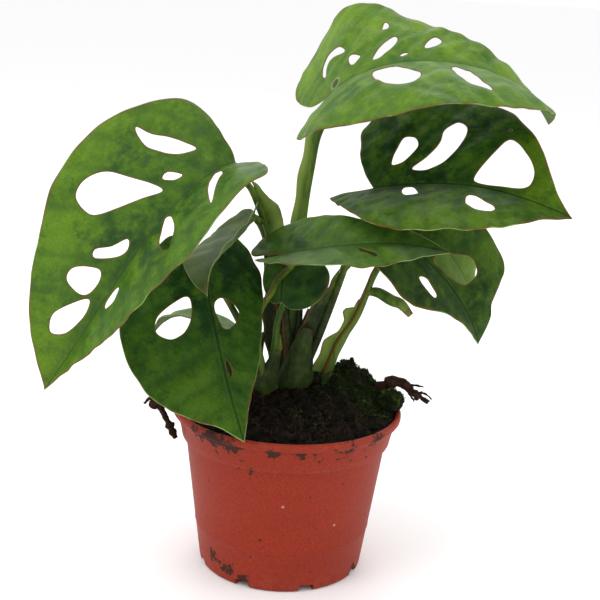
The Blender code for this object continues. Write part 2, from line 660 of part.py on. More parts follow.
def turned_mesh(name, profile, sectors):
    """Turn a profile that starts and ends on the axis into a closed solid."""
    grid = bmesh.new()
    corners = [grid.verts.new(Vector((radius, 0.0, height)) * MM) for radius, height in profile]
    edges = [grid.edges.new(pair) for pair in zip(corners, corners[1:])]
    bmesh.ops.spin(
        grid, geom=corners + edges, cent=(0, 0, 0), axis=(0, 0, 1),
        angle=2 * math.pi, steps=sectors, use_duplicate=False,
    )
    bmesh.ops.remove_doubles(grid, verts=grid.verts, dist=0.00001)
    bmesh.ops.recalc_face_normals(grid, faces=grid.faces)
    mesh = bpy.data.meshes.new(name)
    grid.to_mesh(mesh)
    grid.free()
    return mesh


def make_notches():
    """Blocks that cut the drain notches through the corner of the foot."""
    blocks = []
    for i in range(NOTCH_COUNT):
        angle = math.radians(NOTCH_FIRST_ANGLE - 90.0 + 360.0 * i / NOTCH_COUNT)
        outward = Vector((math.cos(angle), math.sin(angle), 0.0))
        sideways = Vector((-outward.y, outward.x, 0.0)) * (NOTCH_WIDTH / 2)
        near = outward * (POT_FOOT_RADIUS - NOTCH_DEPTH)
        far = outward * (POT_FOOT_RADIUS + 2.0)
        low, high = UP * -1.0, UP * NOTCH_HEIGHT
        base = [near - sideways, far - sideways, far + sideways, near + sideways]
        corners = [corner + low for corner in base] + [corner + high for corner in base]
        faces = [(3, 2, 1, 0), (4, 5, 6, 7), (0, 1, 5, 4), (1, 2, 6, 5), (2, 3, 7, 6), (3, 0, 4, 7)]
        blocks.append(link_object("notch", mesh_from("notch", corners, faces)))
    return blocks


def make_pot():
    """Turn the pot and cut its drain notches."""
    outside, inside = pot_profile()
    item = link_object("pot", turned_mesh("pot", outside + inside, POT_SECTORS))
    boolean(item, "DIFFERENCE", make_notches())
    item.data.materials.clear()
    item.data.materials.append(make_material("pot"))
    item.data.shade_smooth()
    item.data.set_sharp_from_angle(angle=math.radians(35))
    return item


def soil_height(x, y):
    """Height of the soil's top: low at the rim, with a mound and small lumps."""
    radius = math.hypot(x, y) / POT_RIM_RADIUS
    rise = SOIL_CENTRE_RISE * max(0.0, 1.0 - radius ** 2)
    away = (Vector((x, y, 0.0)) - SOIL_MOUND_PLACE).length / SOIL_MOUND_SPREAD
    mound = SOIL_MOUND_RISE * math.exp(-away ** 2)
    lumps = math.sin(x * 0.71 + y * 0.29) + math.sin(y * 0.83 - x * 0.37 + 1.3)
    return SOIL_RIM_HEIGHT + rise + mound + SOIL_LUMP * lumps


def ring_points(radius, height):
    """One ring of soil points, with the height that a function gives."""
    points = []
    for k in range(SOIL_SECTORS):
        angle = 2 * math.pi * k / SOIL_SECTORS
        x, y = radius * math.cos(angle), radius * math.sin(angle)
        points.append(Vector((x, y, height(x, y))))
    return points


def make_soil():
    """Fill the pot with soil, mound its top, add the loose roots and sink the stem holes."""
    _, inside = pot_profile()
    wall = [(radius - CLEARANCE, height + CLEARANCE) for radius, height in inside[1:-1]]
    floor = wall[-1][1]
    points = [Vector((0.0, 0.0, floor))]
    faces = []
    for radius, height in reversed(wall[1:]):
        points += ring_points(radius, lambda x, y, z=height: z)
    (high_radius, high), (low_radius, low) = wall[0], wall[1]
    edge = ramp([(low, low_radius), (high, high_radius)], SOIL_RIM_HEIGHT - 2 * SOIL_LUMP)
    for i in range(SOIL_RINGS, 0, -1):
        points += ring_points(edge * i / SOIL_RINGS, soil_height)
    points.append(Vector((0.0, 0.0, soil_height(0.0, 0.0))))
    count = (len(points) - 2) // SOIL_SECTORS
    for k in range(SOIL_SECTORS):
        following = (k + 1) % SOIL_SECTORS
        faces.append((0, 1 + following, 1 + k))
        for ring in range(count - 1):
            a, b = 1 + ring * SOIL_SECTORS + k, 1 + ring * SOIL_SECTORS + following
            faces.append((a, b, b + SOIL_SECTORS, a + SOIL_SECTORS))
        last = 1 + (count - 1) * SOIL_SECTORS
        faces.append((last + k, last + following, len(points) - 1))
    item = link_object("soil", mesh_from("soil", points, faces))
    roots = []
    for route, radii in ROOTS:
        route = [Vector(point) for point in route]
        roots.append(link_object("root", tube_mesh("root", route, radii, ROOT_SIDES)))
    boolean(item, "UNION", roots)
    boolean(item, "DIFFERENCE", stem_holes())
    item.data.materials.clear()
    item.data.materials.append(make_material("soil"))
    return item


def stem_holes():
    """Plain round holes in the soil, one for each stem."""
    cutters = []
    for shoot in SHOOTS.values():
        x, y = shoot["place"]
        route = [Vector((x, y, z)) for z in (STEM_HOLE_FLOOR, POT_HEIGHT + 30.0)]
        radius = STEM_RADIUS * STEM_SWELL + 2 * CLEARANCE
        cutters.append(link_object("hole", tube_mesh("hole", route, (radius, radius), STEM_SIDES)))
    return cutters


def main():
    """Build the whole plant."""
    clear_scene()
    make_pot()
    make_soil()
    for name, shoot in SHOOTS.items():
        make_shoot(name, shoot)
    for name, leaf in LEAVES.items():
        make_blade(name, leaf)


main()
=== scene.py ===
# %% [markdown]
# # A young Monstera adansonii in a clay-red nursery pot
#
# This lesson dresses a plant whose solids are already packed. Each solid here is replaced by a
# finer piece of the same form: the pot gets its lip and mould marks, the peat its crumbs, and the
# blades their sunken veins. Sizes in this file are millimetres, as in the solids' own source, and
# MM turns them into Blender's metres.

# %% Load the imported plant
import math
import random

import bpy
import numpy as np
from mathutils import Matrix, Vector, noise
from mathutils.geometry import delaunay_2d_cdt


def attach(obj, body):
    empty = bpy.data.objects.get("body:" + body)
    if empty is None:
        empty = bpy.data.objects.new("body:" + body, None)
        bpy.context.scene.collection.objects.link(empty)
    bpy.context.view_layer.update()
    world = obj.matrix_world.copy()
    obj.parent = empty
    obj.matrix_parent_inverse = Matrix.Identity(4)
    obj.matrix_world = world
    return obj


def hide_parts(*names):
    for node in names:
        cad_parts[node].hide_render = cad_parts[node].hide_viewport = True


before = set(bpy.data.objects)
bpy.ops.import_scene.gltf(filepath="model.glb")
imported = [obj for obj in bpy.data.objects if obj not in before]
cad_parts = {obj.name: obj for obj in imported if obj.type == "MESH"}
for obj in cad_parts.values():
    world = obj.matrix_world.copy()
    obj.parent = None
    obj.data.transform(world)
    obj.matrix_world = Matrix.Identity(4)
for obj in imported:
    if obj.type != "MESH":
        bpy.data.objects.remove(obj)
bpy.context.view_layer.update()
MM = 0.001
BODY = "root"

# %% [markdown]
# ## Camera
#
# The photograph was taken from a little above the rim, about half a metre away, with the camera
# leaning a few degrees. The rim and the foot of the pot are two ellipses of known real size, so
# they fix the distance, the height and the lens. The lean goes on last, as a roll about the line
# of sight.

# %% Camera
LENS = 72.0
SENSOR = 36.0
CAMERA_PLACE = Vector((2.78, -448.53, 225.77)) * MM
CAMERA_PITCH = math.radians(14.77)
CAMERA_ROLL = math.radians(3.1)


def make_camera():
    """Aim the camera along +Y, tipped down by the pitch and leaned by the roll."""
    sight = Vector((0.0, math.cos(CAMERA_PITCH), -math.sin(CAMERA_PITCH)))
    level = Vector((1.0, 0.0, 0.0))
    upright = level.cross(sight)
    across = level * math.cos(CAMERA_ROLL) + upright * math.sin(CAMERA_ROLL)
    above = upright * math.cos(CAMERA_ROLL) - level * math.sin(CAMERA_ROLL)
    turn = Matrix((across, above, -sight)).transposed().to_4x4()
    turn.translation = CAMERA_PLACE
    bpy.ops.object.camera_add()
    camera = bpy.context.object
    camera.matrix_world = turn
    camera.data.lens = LENS
    camera.data.sensor_width = SENSOR
    camera.data.clip_start = 10 * MM
    return camera


bpy.context.scene.camera = make_camera()
print("camera lens", LENS, "mm")

# %% [markdown]
# ## Floor and light
#
# A product picture on white needs a pale floor and light from all round. A bright sky colour fills
# every shadow, one wide lamp from the upper left gives the leaves their sheen, and two weaker ones
# from the right and from behind keep the far sides open. The Standard view keeps the leaf colours
# as they are mixed, where a filmic view would grey them.

# %% Floor and light
FLOOR_SIZE = 60.0
FLOOR_DROP = 0.2
SKY_STRENGTH = 1.0
# Each lamp: place and size in metres, and power.
LAMPS = (
    ((-0.75, -0.55, 1.15), 0.9, 7.0),
    ((0.95, -0.35, 0.75), 0.8, 2.0),
    ((0.05, 0.9, 0.9), 0.9, 3.0),
)
PLANT_MIDDLE = Vector((0.0, 0.0, 0.11))

scene = bpy.context.scene
scene.view_settings.view_transform = "Standard"
bpy.ops.mesh.primitive_plane_add(size=FLOOR_SIZE, location=(0.0, 0.0, -FLOOR_DROP * MM))
floor = bpy.context.object
floor.name = "floor"

scene.world = bpy.data.worlds.new("studio")
scene.world.use_nodes = True
sky = scene.world.node_tree.nodes["Background"]
sky.inputs["Color"].default_value = (1.0, 1.0, 1.0, 1.0)
sky.inputs["Strength"].default_value = SKY_STRENGTH

for place, size, power in LAMPS:
    bpy.ops.object.light_add(type="AREA", location=place)
    lamp = bpy.context.object
    lamp.data.shape = "DISK"
    lamp.data.size = size
    lamp.data.energy = power
    lamp.rotation_euler = (PLANT_MIDDLE - Vector(place)).to_track_quat("-Z", "Y").to_euler()
print("lamps", len(LAMPS))

# %% [markdown]
# ## Shader maths
#
# A finish is mostly arithmetic on numbers that change over the surface: how far from a vein, how
# deep in a hollow, how much dust. One small class wraps a shader socket, so that such arithmetic
# is written as plain Python and each sign adds its own Math node. Any other node, such as a noise
# or a ramp, comes from `node`. Most finishes are coats, one colour mixed over the last one.

# %% Shader maths
TISSUE_RADIUS = (0.5, 1.0, 0.2)


class Field:
    """A value that changes over a surface, as the socket of a shader node."""

    def __init__(self, tree, socket=None):
        self.tree = tree
        self.socket = socket

    def node(self, kind, settings=None, inputs=None, output=0):
        """Add a node, give it its settings, then the values or links of its sockets."""
        made = self.tree.nodes.new("ShaderNode" + kind)
        for name, value in (settings or {}).items():
            setattr(made, name, value)
        for name, value in (inputs or {}).items():
            if isinstance(value, Field):
                self.tree.links.new(value.socket, made.inputs[name])
            else:
                made.inputs[name].default_value = value
        return Field(self.tree, made.outputs[output])

    def maths(self, operation, first, second):
        """Add a Math node."""
        return self.node("Math", {"operation": operation}, {0: first, 1: second})

    def __add__(self, other):
        return self.maths("ADD", self, other)

    def __sub__(self, other):
        return self.maths("SUBTRACT", self, other)

    def __mul__(self, other):
        return self.maths("MULTIPLY", self, other)

    def __rsub__(self, other):
        return self.maths("SUBTRACT", other, self)

    def __abs__(self):
        return self.maths("ABSOLUTE", self, 0.0)

    __radd__ = __add__
    __rmul__ = __mul__


def rise(field, low, high):
    """Go smoothly from 0 at low to 1 at high."""
    inputs = {"Value": field, "From Min": low, "From Max": high}
    return field.node("MapRange", {"interpolation_type": "SMOOTHSTEP"}, inputs)


def fall(field, low, high):
    """Go smoothly from 1 at low to 0 at high."""
    return 1.0 - rise(field, low, high)


def blend_colour(first, second, share):
    """Mix two colours, each given as numbers or as a field. The share is a field."""
    colours = [c if isinstance(c, Field) else (*c, 1.0) for c in (first, second)]
    inputs = {0: share, 6: colours[0], 7: colours[1]}
    return share.node("Mix", {"data_type": "RGBA"}, inputs, output=2)


def paint_over(colour, *coats):
    """Mix coats over a colour in turn. Each coat is a colour and its share."""
    for coat, share in coats:
        colour = blend_colour(colour, coat, share)
    return colour


def cloud(place, scale, detail=3.0, roughness=0.55):
    """Soft noise from 0 to 1 round a half, with `scale` patches in each metre or millimetre."""
    inputs = {"Vector": place, "Scale": scale, "Detail": detail, "Roughness": roughness}
    return place.node("TexNoise", None, inputs)


def cell_walls(place, scale):
    """Distance to the walls of random cells, as in the finest net of a leaf's veins."""
    settings = {"feature": "DISTANCE_TO_EDGE"}
    return place.node("TexVoronoi", settings, {"Vector": place, "Scale": scale})


def read(field, name):
    """Read one of a piece's own attributes as numbers."""
    return field.node("Attribute", {"attribute_name": name}, None, output=2)


def bump(height, distance, strength):
    """Tilt the surface as a height field says, the height given in metres by distance."""
    inputs = {"Height": height, "Distance": distance, "Strength": strength}
    return height.node("Bump", None, inputs)


def new_material(name):
    """Start a material and give back its shader and a field to build with."""
    material = bpy.data.materials.new(name)
    material.use_nodes = True
    return material, material.node_tree.nodes["Principled BSDF"], Field(material.node_tree)


def plug(shader, values):
    """Give sockets of the shader their links or constants."""
    for name, value in values.items():
        if isinstance(value, Field):
            value.tree.links.new(value.socket, shader.inputs[name])
        else:
            shader.inputs[name].default_value = value


def let_light_in(shader, weight, depth):
    """Scatter light inside green tissue, green the farthest, to a depth in millimetres."""
    plug(shader, {"Subsurface Weight": weight, "Subsurface Radius": TISSUE_RADIUS,
                  "Subsurface Scale": depth * MM})


def object_place(field):
    """Places on the piece in metres."""
    return field.node("TexCoord", None, None, output=3)


# %% Floor finish
FLOOR_GREY = (0.96, 0.96, 0.96)
FLOOR_WHITE = (0.98, 0.98, 0.98)


def floor_material():
    """A matt, nearly white floor."""
    material, shader, field = new_material("pale_floor")
    mottle = cloud(object_place(field), 9.0, 2.0)
    plug(shader, {"Base Color": blend_colour(FLOOR_GREY, FLOOR_WHITE, mottle),
                  "Roughness": 0.9, "Specular IOR Level": 0.1})
    return material


floor.data.materials.append(floor_material())
print("floor finish done")

# %% [markdown]
# ## Working by hand in edit mode
#
# Every modelling operator works on what is selected, and loading the plant leaves its solids
# selected. These few helpers select only what the next step needs, by its place, and hand a
# finished piece to the plant: which body it rides on, whose finish it takes, which solid it
# stands for.

# %% Helpers for modelling
def select_only(item=None):
    """Deselect everything, then make one object the active and only one."""
    if bpy.context.object and bpy.context.object.mode != "OBJECT":
        bpy.ops.object.mode_set(mode="OBJECT")
    bpy.ops.object.select_all(action="DESELECT")
    if item is not None:
        item.select_set(True)
        bpy.context.view_layer.objects.active = item


def apply_modifier(item, kind, **settings):
    """Add a modifier and apply it at once."""
    select_only(item)
    modifier = item.modifiers.new(kind.lower(), kind)
    for name, value in settings.items():
        setattr(modifier, name, value)
    bpy.ops.object.modifier_apply(modifier=modifier.name)


def face_outward(item, weld=None):
    """Turn every face's front outward, after welding corners that are nearer than a distance."""
    select_only(item)
    bpy.ops.object.mode_set(mode="EDIT")
    bpy.ops.mesh.select_all(action="SELECT")
    if weld is not None:
        bpy.ops.mesh.remove_doubles(threshold=weld)
    bpy.ops.mesh.normals_make_consistent(inside=False)
    bpy.ops.object.mode_set(mode="OBJECT")


def object_from(name, points, faces):
    """Make an object from points in millimetres."""
    mesh = bpy.data.meshes.new(name)
    mesh.from_pydata((np.asarray(points) * MM).tolist(), [], [list(face) for face in faces])
    mesh.update()
    item = bpy.data.objects.new(name, mesh)
    bpy.context.scene.collection.objects.link(item)
    return item


def join_all(items, name):
    """Join several objects into the first one."""
    select_only(items[0])
    for item in items:
        item.select_set(True)
    bpy.ops.object.join()
    items[0].name = name
    return items[0]


def triangle_count(item):
    """How many triangles a piece has."""
    item.data.calc_loop_triangles()
    return len(item.data.loop_triangles)


def hand_over(item, slot, nodes, material):
    """Finish a piece: its material, the body it rides on and the solids it stands for."""
    item.data.materials.clear()
    item.data.materials.append(material)
    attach(item, BODY)
    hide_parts(*nodes)
    print(item.name, triangle_count(item), "triangles")


def set_numbers(item, name, values):
    """Keep one number for each vertex, for the piece's finish to read."""
    layer = item.data.attributes.new(name, "FLOAT", "POINT")
    layer.data.foreach_set("value", np.asarray(values, dtype=np.float32))


# %% [markdown]
# ## Pot
#
# The pot is injection-moulded plastic, turned on the outside of one profile: a foot with a raised
# ring, a slanting wall, a collar that stands out where pots nest, and a rolled lip. A Spin would
# do it, but pulling a ring upwards and resizing it, as on a wheel, lets each edge get its own
# small round. The drain notches are then cut through the corner of the foot with eight blocks.

# %% Pot sizes
POT_SIDES = 128
RIM = 45.0
TALL = 65.0
FOOT = 32.5
WALL = 1.2
POT_FLOOR = 2.2
NECK = 39.4
COLLAR = 41.0
STEP_HEIGHT = 52.5
LIP_HEIGHT = 62.0
PAD = 11.0
FOOT_RING = 27.0
RECESS = 0.8
POT_ROUTE = [
    (PAD, 0.0), (PAD + 0.3, 0.1), (PAD + RECESS, RECESS), (19.0, RECESS),
    (FOOT_RING - RECESS, RECESS), (FOOT_RING - 0.3, 0.15), (FOOT_RING, 0.0), (30.0, 0.0),
    (FOOT - 1.0, 0.0), (FOOT - 0.3, 0.25), (FOOT, 0.9), (FOOT + 0.25, 2.2), (33.6, 8.5),
    (34.72, 16.6), (34.98, 17.0), (34.88, 17.4), (36.3, 28.0), (37.9, 40.0), (38.1, 41.2),
    (38.25, 42.4), (NECK - 0.1, 50.6), (NECK, 51.6), (NECK + 0.35, 52.15), (COLLAR - 0.5, 52.35),
    (COLLAR - 0.1, STEP_HEIGHT), (COLLAR + 0.12, 52.95), (41.7, 56.0), (42.6, 59.6),
    (42.9, 60.8), (43.25, 61.35), (RIM - 1.1, 61.65), (RIM - 0.45, LIP_HEIGHT),
    (RIM - 0.08, 62.5), (RIM, 63.2), (RIM - 0.03, 64.1), (RIM - 0.3, 64.7), (RIM - 0.8, TALL),
    (RIM - 1.4, TALL), (RIM - 1.9, 64.75), (RIM - WALL - 0.95, 64.2), (43.0, 62.4),
    (41.6, 58.0), (COLLAR - WALL + 0.2, 54.0), (COLLAR - WALL - 0.3, 53.0), (NECK - WALL, 51.0),
    (36.6, 40.0), (33.9, 20.0), (FOOT - WALL, POT_FLOOR + 0.6), (FOOT - WALL - 0.6, POT_FLOOR),
    (15.0, POT_FLOOR),
]


# %% Turn the pot
def pull_ring(start, end):
    """Extrude the selected ring and bring it to the next radius and height of the profile."""
    radius, height = start
    next_radius, next_height = end
    lift = (next_height - height) * MM
    bpy.ops.mesh.extrude_region_move(TRANSFORM_OT_translate={"value": (0.0, 0.0, lift)})
    size = next_radius / radius
    bpy.ops.transform.resize(value=(size, size, 1.0), center_override=(0.0, 0.0, 0.0))


def turn_up(name, route, sides):
    """Turn a closed shell by pulling one ring along a route that starts and ends flat."""
    select_only()
    radius, height = route[0]
    bpy.ops.mesh.primitive_circle_add(
        vertices=sides, radius=radius * MM, fill_type="NGON", location=(0.0, 0.0, height * MM))
    item = bpy.context.object
    item.name = name
    bpy.ops.object.transform_apply(location=True)
    bpy.ops.object.mode_set(mode="EDIT")
    bpy.ops.mesh.select_all(action="SELECT")
    bpy.ops.mesh.region_to_loop()
    for start, end in zip(route, route[1:]):
        pull_ring(start, end)
    bpy.ops.mesh.edge_face_add()
    bpy.ops.object.mode_set(mode="OBJECT")
    face_outward(item)
    return item


pot = turn_up("pot_moulded", POT_ROUTE, POT_SIDES)
print("pot rings", len(POT_ROUTE))

# %% Cut the drain notches
NOTCHES = 8
NOTCH_FIRST = 20.0
NOTCH_SIZE = (6.0, 6.0, 3.6)
NOTCH_INSET = 1.0
NOTCH_DROP = 1.0
NOTCH_ROUND = 0.7
POT_SHARP = math.radians(38)


def make_notch(index):
    """One block with rounded corners, across the corner of the foot."""
    angle = math.radians(NOTCH_FIRST - 90.0 + index * 360.0 / NOTCHES)
    middle = FOOT - NOTCH_INSET
    height = NOTCH_SIZE[2] / 2 - NOTCH_DROP
    place = Vector((middle * math.cos(angle), middle * math.sin(angle), height))
    select_only()
    bpy.ops.mesh.primitive_cube_add(size=1.0, location=place * MM, rotation=(0.0, 0.0, angle))
    block = bpy.context.object
    block.scale = Vector(NOTCH_SIZE) * MM
    bpy.ops.object.transform_apply(location=True, rotation=True, scale=True)
    apply_modifier(block, "BEVEL", width=NOTCH_ROUND * MM, segments=3)
    return block


notches = join_all([make_notch(index) for index in range(NOTCHES)], "notches")
apply_modifier(pot, "BOOLEAN", operation="DIFFERENCE", object=notches, solver="EXACT")
bpy.data.objects.remove(notches, do_unlink=True)
select_only(pot)
bpy.ops.object.shade_smooth_by_angle(angle=POT_SHARP)
print("pot faces", len(pot.data.polygons))

# %% [markdown]
# ## Pot finish
#
# Cheap pot plastic is brick red with a fine pale speckle from the filler in it. Handling leaves
# chalky rubs on the lip, the collar's edge and the foot, and peat leaves dark smears under the
# lip. The gloss is low and uneven, so the roughness follows the rubs, and a very fine
# orange-peel bump breaks up the highlight.

# %% Pot finish
POT_RED = (0.262, 0.020, 0.005)
POT_DEEP = (0.150, 0.014, 0.004)
POT_GRAIN = (0.330, 0.062, 0.026)
POT_CHALK = (0.380, 0.105, 0.070)
POT_SPECK = (0.55, 0.32, 0.25)
POT_DIRT = (0.022, 0.012, 0.008)
# Dirt on the pot: place, reach and amount.
POT_SMEARS = [
    ((-4.0, -43.0, 61.0), 4.5, 1.3), ((-19.5, -38.6, 60.8), 6.5, 1.2), ((-27.0, -35.6, 62.5), 8.0, 1.2),
    ((-33.5, -29.5, 61.5), 7.0, 0.9), ((6.0, -42.5, 60.3), 3.2, 1.0), ((23.0, -37.5, 60.5), 9.0, 0.6),
    ((34.5, -29.5, 62.0), 8.0, 0.9), ((-13.3, -30.2, 3.4), 4.5, 1.4), ((-20.0, -27.0, 6.0), 6.5, 0.9),
    ((-25.5, -21.5, 8.0), 6.0, 0.9), ((-33.0, -5.0, 8.0), 9.0, 0.8), ((29.0, -15.3, 3.0), 4.0, 1.1),
    ((13.0, -40.5, 58.5), 5.0, 0.5), ((-12.0, -37.3, 52.0), 7.0, 0.4),
]
POT_SPECKS = [((0.6, -37.4, 37.7), 0.9), ((20.3, -30.0, 28.0), 0.8), ((-9.0, -36.0, 30.0), 0.5)]


def near_place(place, centre, radius):
    """1 at a point of the piece, 0 past a radius, both in millimetres."""
    settings = {"operation": "DISTANCE"}
    inputs = {0: place, 1: Vector(centre) * MM}
    gap = place.node("VectorMath", settings, inputs, output=1)
    return fall(gap, 0.0, radius * MM)


def near_any(place, spots, start):
    """Sum of spots, each a centre, a radius and an amount, on top of a start value."""
    for centre, radius, amount in spots:
        start = near_place(place, centre, radius) * amount + start
    return start


def pot_material():
    """Brick-red plastic with a pale grain, rubs at its edges and smears of peat."""
    material, shader, field = new_material("clay_red_plastic")
    place = object_place(field)
    height = place.node("SeparateXYZ", None, {0: place}, output=2)
    mottle = cloud(place, 26.0, 4.0)
    speckle = cloud(place, 1500.0, 2.0, 0.7)
    dabs = cloud(place, 300.0, 4.0, 0.65)
    crumbs = cloud(place, 620.0, 3.0, 0.6)
    stretched = place.node("Mapping", None, {"Vector": place, "Scale": (130.0, 130.0, 900.0)})
    scratches = rise(cloud(stretched, 1.0, 3.0, 0.6), 0.66, 0.74)
    lip = rise(height, 0.0612, 0.0640) * 0.3 + fall(height, 0.001, 0.012) * 0.4
    collar = fall(abs(height - 0.0528), 0.0002, 0.0011) * 0.4
    rub = (lip + collar) * rise(dabs, 0.38, 0.66)
    colour = paint_over(
        POT_RED,
        (POT_DEEP, rise(mottle, 0.45, 0.8) * 0.35),
        (POT_GRAIN, rise(speckle, 0.52, 0.70) * 0.40),
        (POT_DEEP, fall(speckle, 0.30, 0.46) * 0.60),
        (POT_DEEP, fall(crumbs, 0.28, 0.42) * 0.35),
        (POT_CHALK, rub * 0.45),
        (POT_CHALK, scratches * 0.15),
        *[(POT_SPECK, near_place(place, centre, radius) * 0.9) for centre, radius in POT_SPECKS])
    smears = near_any(place, POT_SMEARS, crumbs * 0.0)
    damp = fall(abs(height - 0.0610), 0.0002, 0.0013) * rise(mottle, 0.40, 0.60) * 0.45
    grains = dabs * 0.5 + crumbs * 0.5
    dirt = rise(grains + (smears + damp) * 0.24, 0.60, 0.68)
    peel = cloud(place, 700.0, 2.0) + speckle * 0.4 + dirt * 1.5
    plug(shader, {"Base Color": blend_colour(colour, POT_DIRT, dirt * 0.9),
                  "Roughness": 0.48 + mottle * 0.12 + rub * 0.2 + dirt * 0.2,
                  "Specular IOR Level": 0.20, "Normal": bump(peel, 0.08 * MM, 0.5)})
    return material


hand_over(pot, "pot", ["pot"], pot_material())

# %% [markdown]
# ## The sheet that a blade lies on
#
# A leaf blade is a flat cut-out that has been bent. Its midrib is a Bezier curve from base to tip,
# each half is folded up from it and curls down again towards the margin, and the tissue swells
# between the side veins. The form below turns flat places, so many millimetres along the midrib
# and across it, into places in space. It takes whole arrays at once, because a blade has thousands
# of points.

# %% Measures of a blade
VEIN_SLANT = 0.5
QUILT_HEIGHT = 0.42
QUILT_START = 6.0
WAVE_OUT = 25.0
WAVE_PITCH = 9.0
WAVE_SHIFT = 2.3
CURL_WIDTH = 36.0
CREASE_ROUND = 0.8
MIDRIB_SAMPLES = 200
UP = np.array((0.0, 0.0, 1.0))


def unit(vectors):
    """Scale vectors to length one."""
    return vectors / np.linalg.norm(vectors, axis=-1, keepdims=True)


def column(values):
    """Stand numbers up, so that each one multiplies a vector."""
    return np.asarray(values)[..., None]


# %% Bend a sheet along its midrib
class LeafForm:
    """A bent sheet, addressed in millimetres along its midrib and across it, left above 0."""

    def __init__(self, leaf):
        base, tip = np.array(leaf["base"], float), np.array(leaf["tip"], float)
        chord = tip - base
        reach = np.linalg.norm(chord)
        forward = chord / reach
        upward = unit(UP - forward * UP.dot(forward))
        leftward = np.cross(upward, forward)
        roll, lift, drop = (math.radians(leaf[key]) for key in ("roll", "lift", "drop"))
        face = upward * math.cos(roll) - leftward * math.sin(roll)
        self.left = leftward * math.cos(roll) + upward * math.sin(roll)
        first, second = (share * reach for share in leaf["handles"])
        ahead = forward * math.cos(lift) + face * math.sin(lift)
        behind = forward * math.cos(drop) - face * math.sin(drop)
        self.hull = np.array([base, base + ahead * first, tip - behind * second, tip])
        self.folds = [math.radians(angle) for angle in leaf["fold"]]
        self.bends = [math.radians(angle) / CURL_WIDTH for angle in leaf["curl"]]
        self.twist = math.radians(leaf.get("twist", 0.0))
        self.wave = leaf["wave"]
        self.shares = np.linspace(0.0, 1.0, MIDRIB_SAMPLES)
        places = self.bezier(self.shares)[0]
        steps = np.linalg.norm(np.diff(places, axis=0), axis=1)
        self.lengths = np.concatenate([[0.0], np.cumsum(steps)])
        self.length = self.lengths[-1]

    def bezier(self, share):
        """Places on the midrib and its directions there."""
        u = column(share)
        v = 1.0 - u
        a, b, c, d = self.hull
        place = a * v ** 3 + b * 3 * v * v * u + c * 3 * v * u * u + d * u ** 3
        ahead = (b - a) * v * v + (c - b) * 2 * v * u + (d - c) * u * u
        return place, unit(ahead)

    def midrib(self, along):
        """The midrib by its real length, run straight on past its ends."""
        inside = np.clip(along, 0.0, self.length)
        place, ahead = self.bezier(np.interp(inside, self.lengths, self.shares))
        return place + ahead * column(along - inside), ahead

    def frame_at(self, along):
        """Place, direction, leftward and upright of the sheet on its midrib."""
        place, ahead = self.midrib(along)
        upright = unit(np.cross(ahead, np.broadcast_to(self.left, ahead.shape)))
        turn = column(self.twist * along / self.length)
        left = self.left * np.cos(turn) + upright * np.sin(turn)
        return place, ahead, left, upright * np.cos(turn) - self.left * np.sin(turn)

    def place(self, along, across, height):
        """Places in space for flat places, raised by a height along the sheet's face."""
        along, across = np.asarray(along, float), np.asarray(across, float)
        point, _, left, upright = self.frame_at(along)
        is_left = across >= 0
        sign = np.where(is_left, 1.0, -1.0)
        fold = np.where(is_left, *self.folds)
        bend = np.where(is_left, *self.bends)
        out = np.abs(across)
        sideways = (np.sin(fold) - np.sin(fold - bend * out)) / bend
        upward = (np.cos(fold - bend * out) - np.cos(fold)) / bend
        upward = upward + fold * CREASE_ROUND * np.exp(-out / CREASE_ROUND)
        slope = (fold - bend * out) * (1.0 - np.exp(-out / CREASE_ROUND))
        face = upright * column(np.cos(slope)) - left * column(sign * np.sin(slope))
        return (point + left * column(sign * sideways) + upright * column(upward)
                + face * column(height))


# %% [markdown]
# ## Where the veins run
#
# Side veins leave the midrib at about sixty degrees and pass between the holes, never through
# one, because the holes open in the tissue between two veins while the leaf is still rolled up.
# So each leaf lists where its veins leave the midrib on either half. In the two base lobes the
# veins fan out backwards from the petiole instead.

# %% Vein lists
# For each leaf: where veins leave the midrib on the left, on the right, and the lobes' fan angle.
VEINS = {
    "leaf_left_large": ([0, 13, 26, 39, 49, 60, 74, 86, 96], [0, 13, 24.5, 39, 56.5, 71, 84, 95], 27),
    "leaf_front_low": ([0, 10.5, 27.5, 37, 47, 57], [0, 7, 22.5, 34, 46, 57], 28),
    "leaf_left_small": ([0, 9, 18, 27], [0, 9, 18, 27], 30),
    "leaf_front_middle": ([0, 9, 20, 31, 42, 52], [0, 12, 25, 35, 46], 28),
    "leaf_top": ([0, 13, 29, 37, 48, 60, 74], [0, 9, 18, 34.5, 44, 51, 63, 76], 55),
    "leaf_right": ([0, 8.5, 24.5, 34, 57, 65], [0, 11.5, 22, 34.5, 48.5, 59], 27),
    "leaf_right_low": ([0, 12.5, 30, 40], [0, 8, 19, 30, 40], 28),
    "leaf_middle_small": ([0, 8, 16], [0, 8, 16], 30),
    "leaf_right_back": ([0, 9, 18, 27], [0, 9, 18, 27], 30),
    "leaf_left_back": ([0, 9, 18, 27], [0, 9, 18, 27], 30),
}
VEIN_OUT_ANGLE = math.atan2(1.0, VEIN_SLANT)
VEIN_LAST_PITCH = 11
VEIN_LEAST_PITCH = 0.5


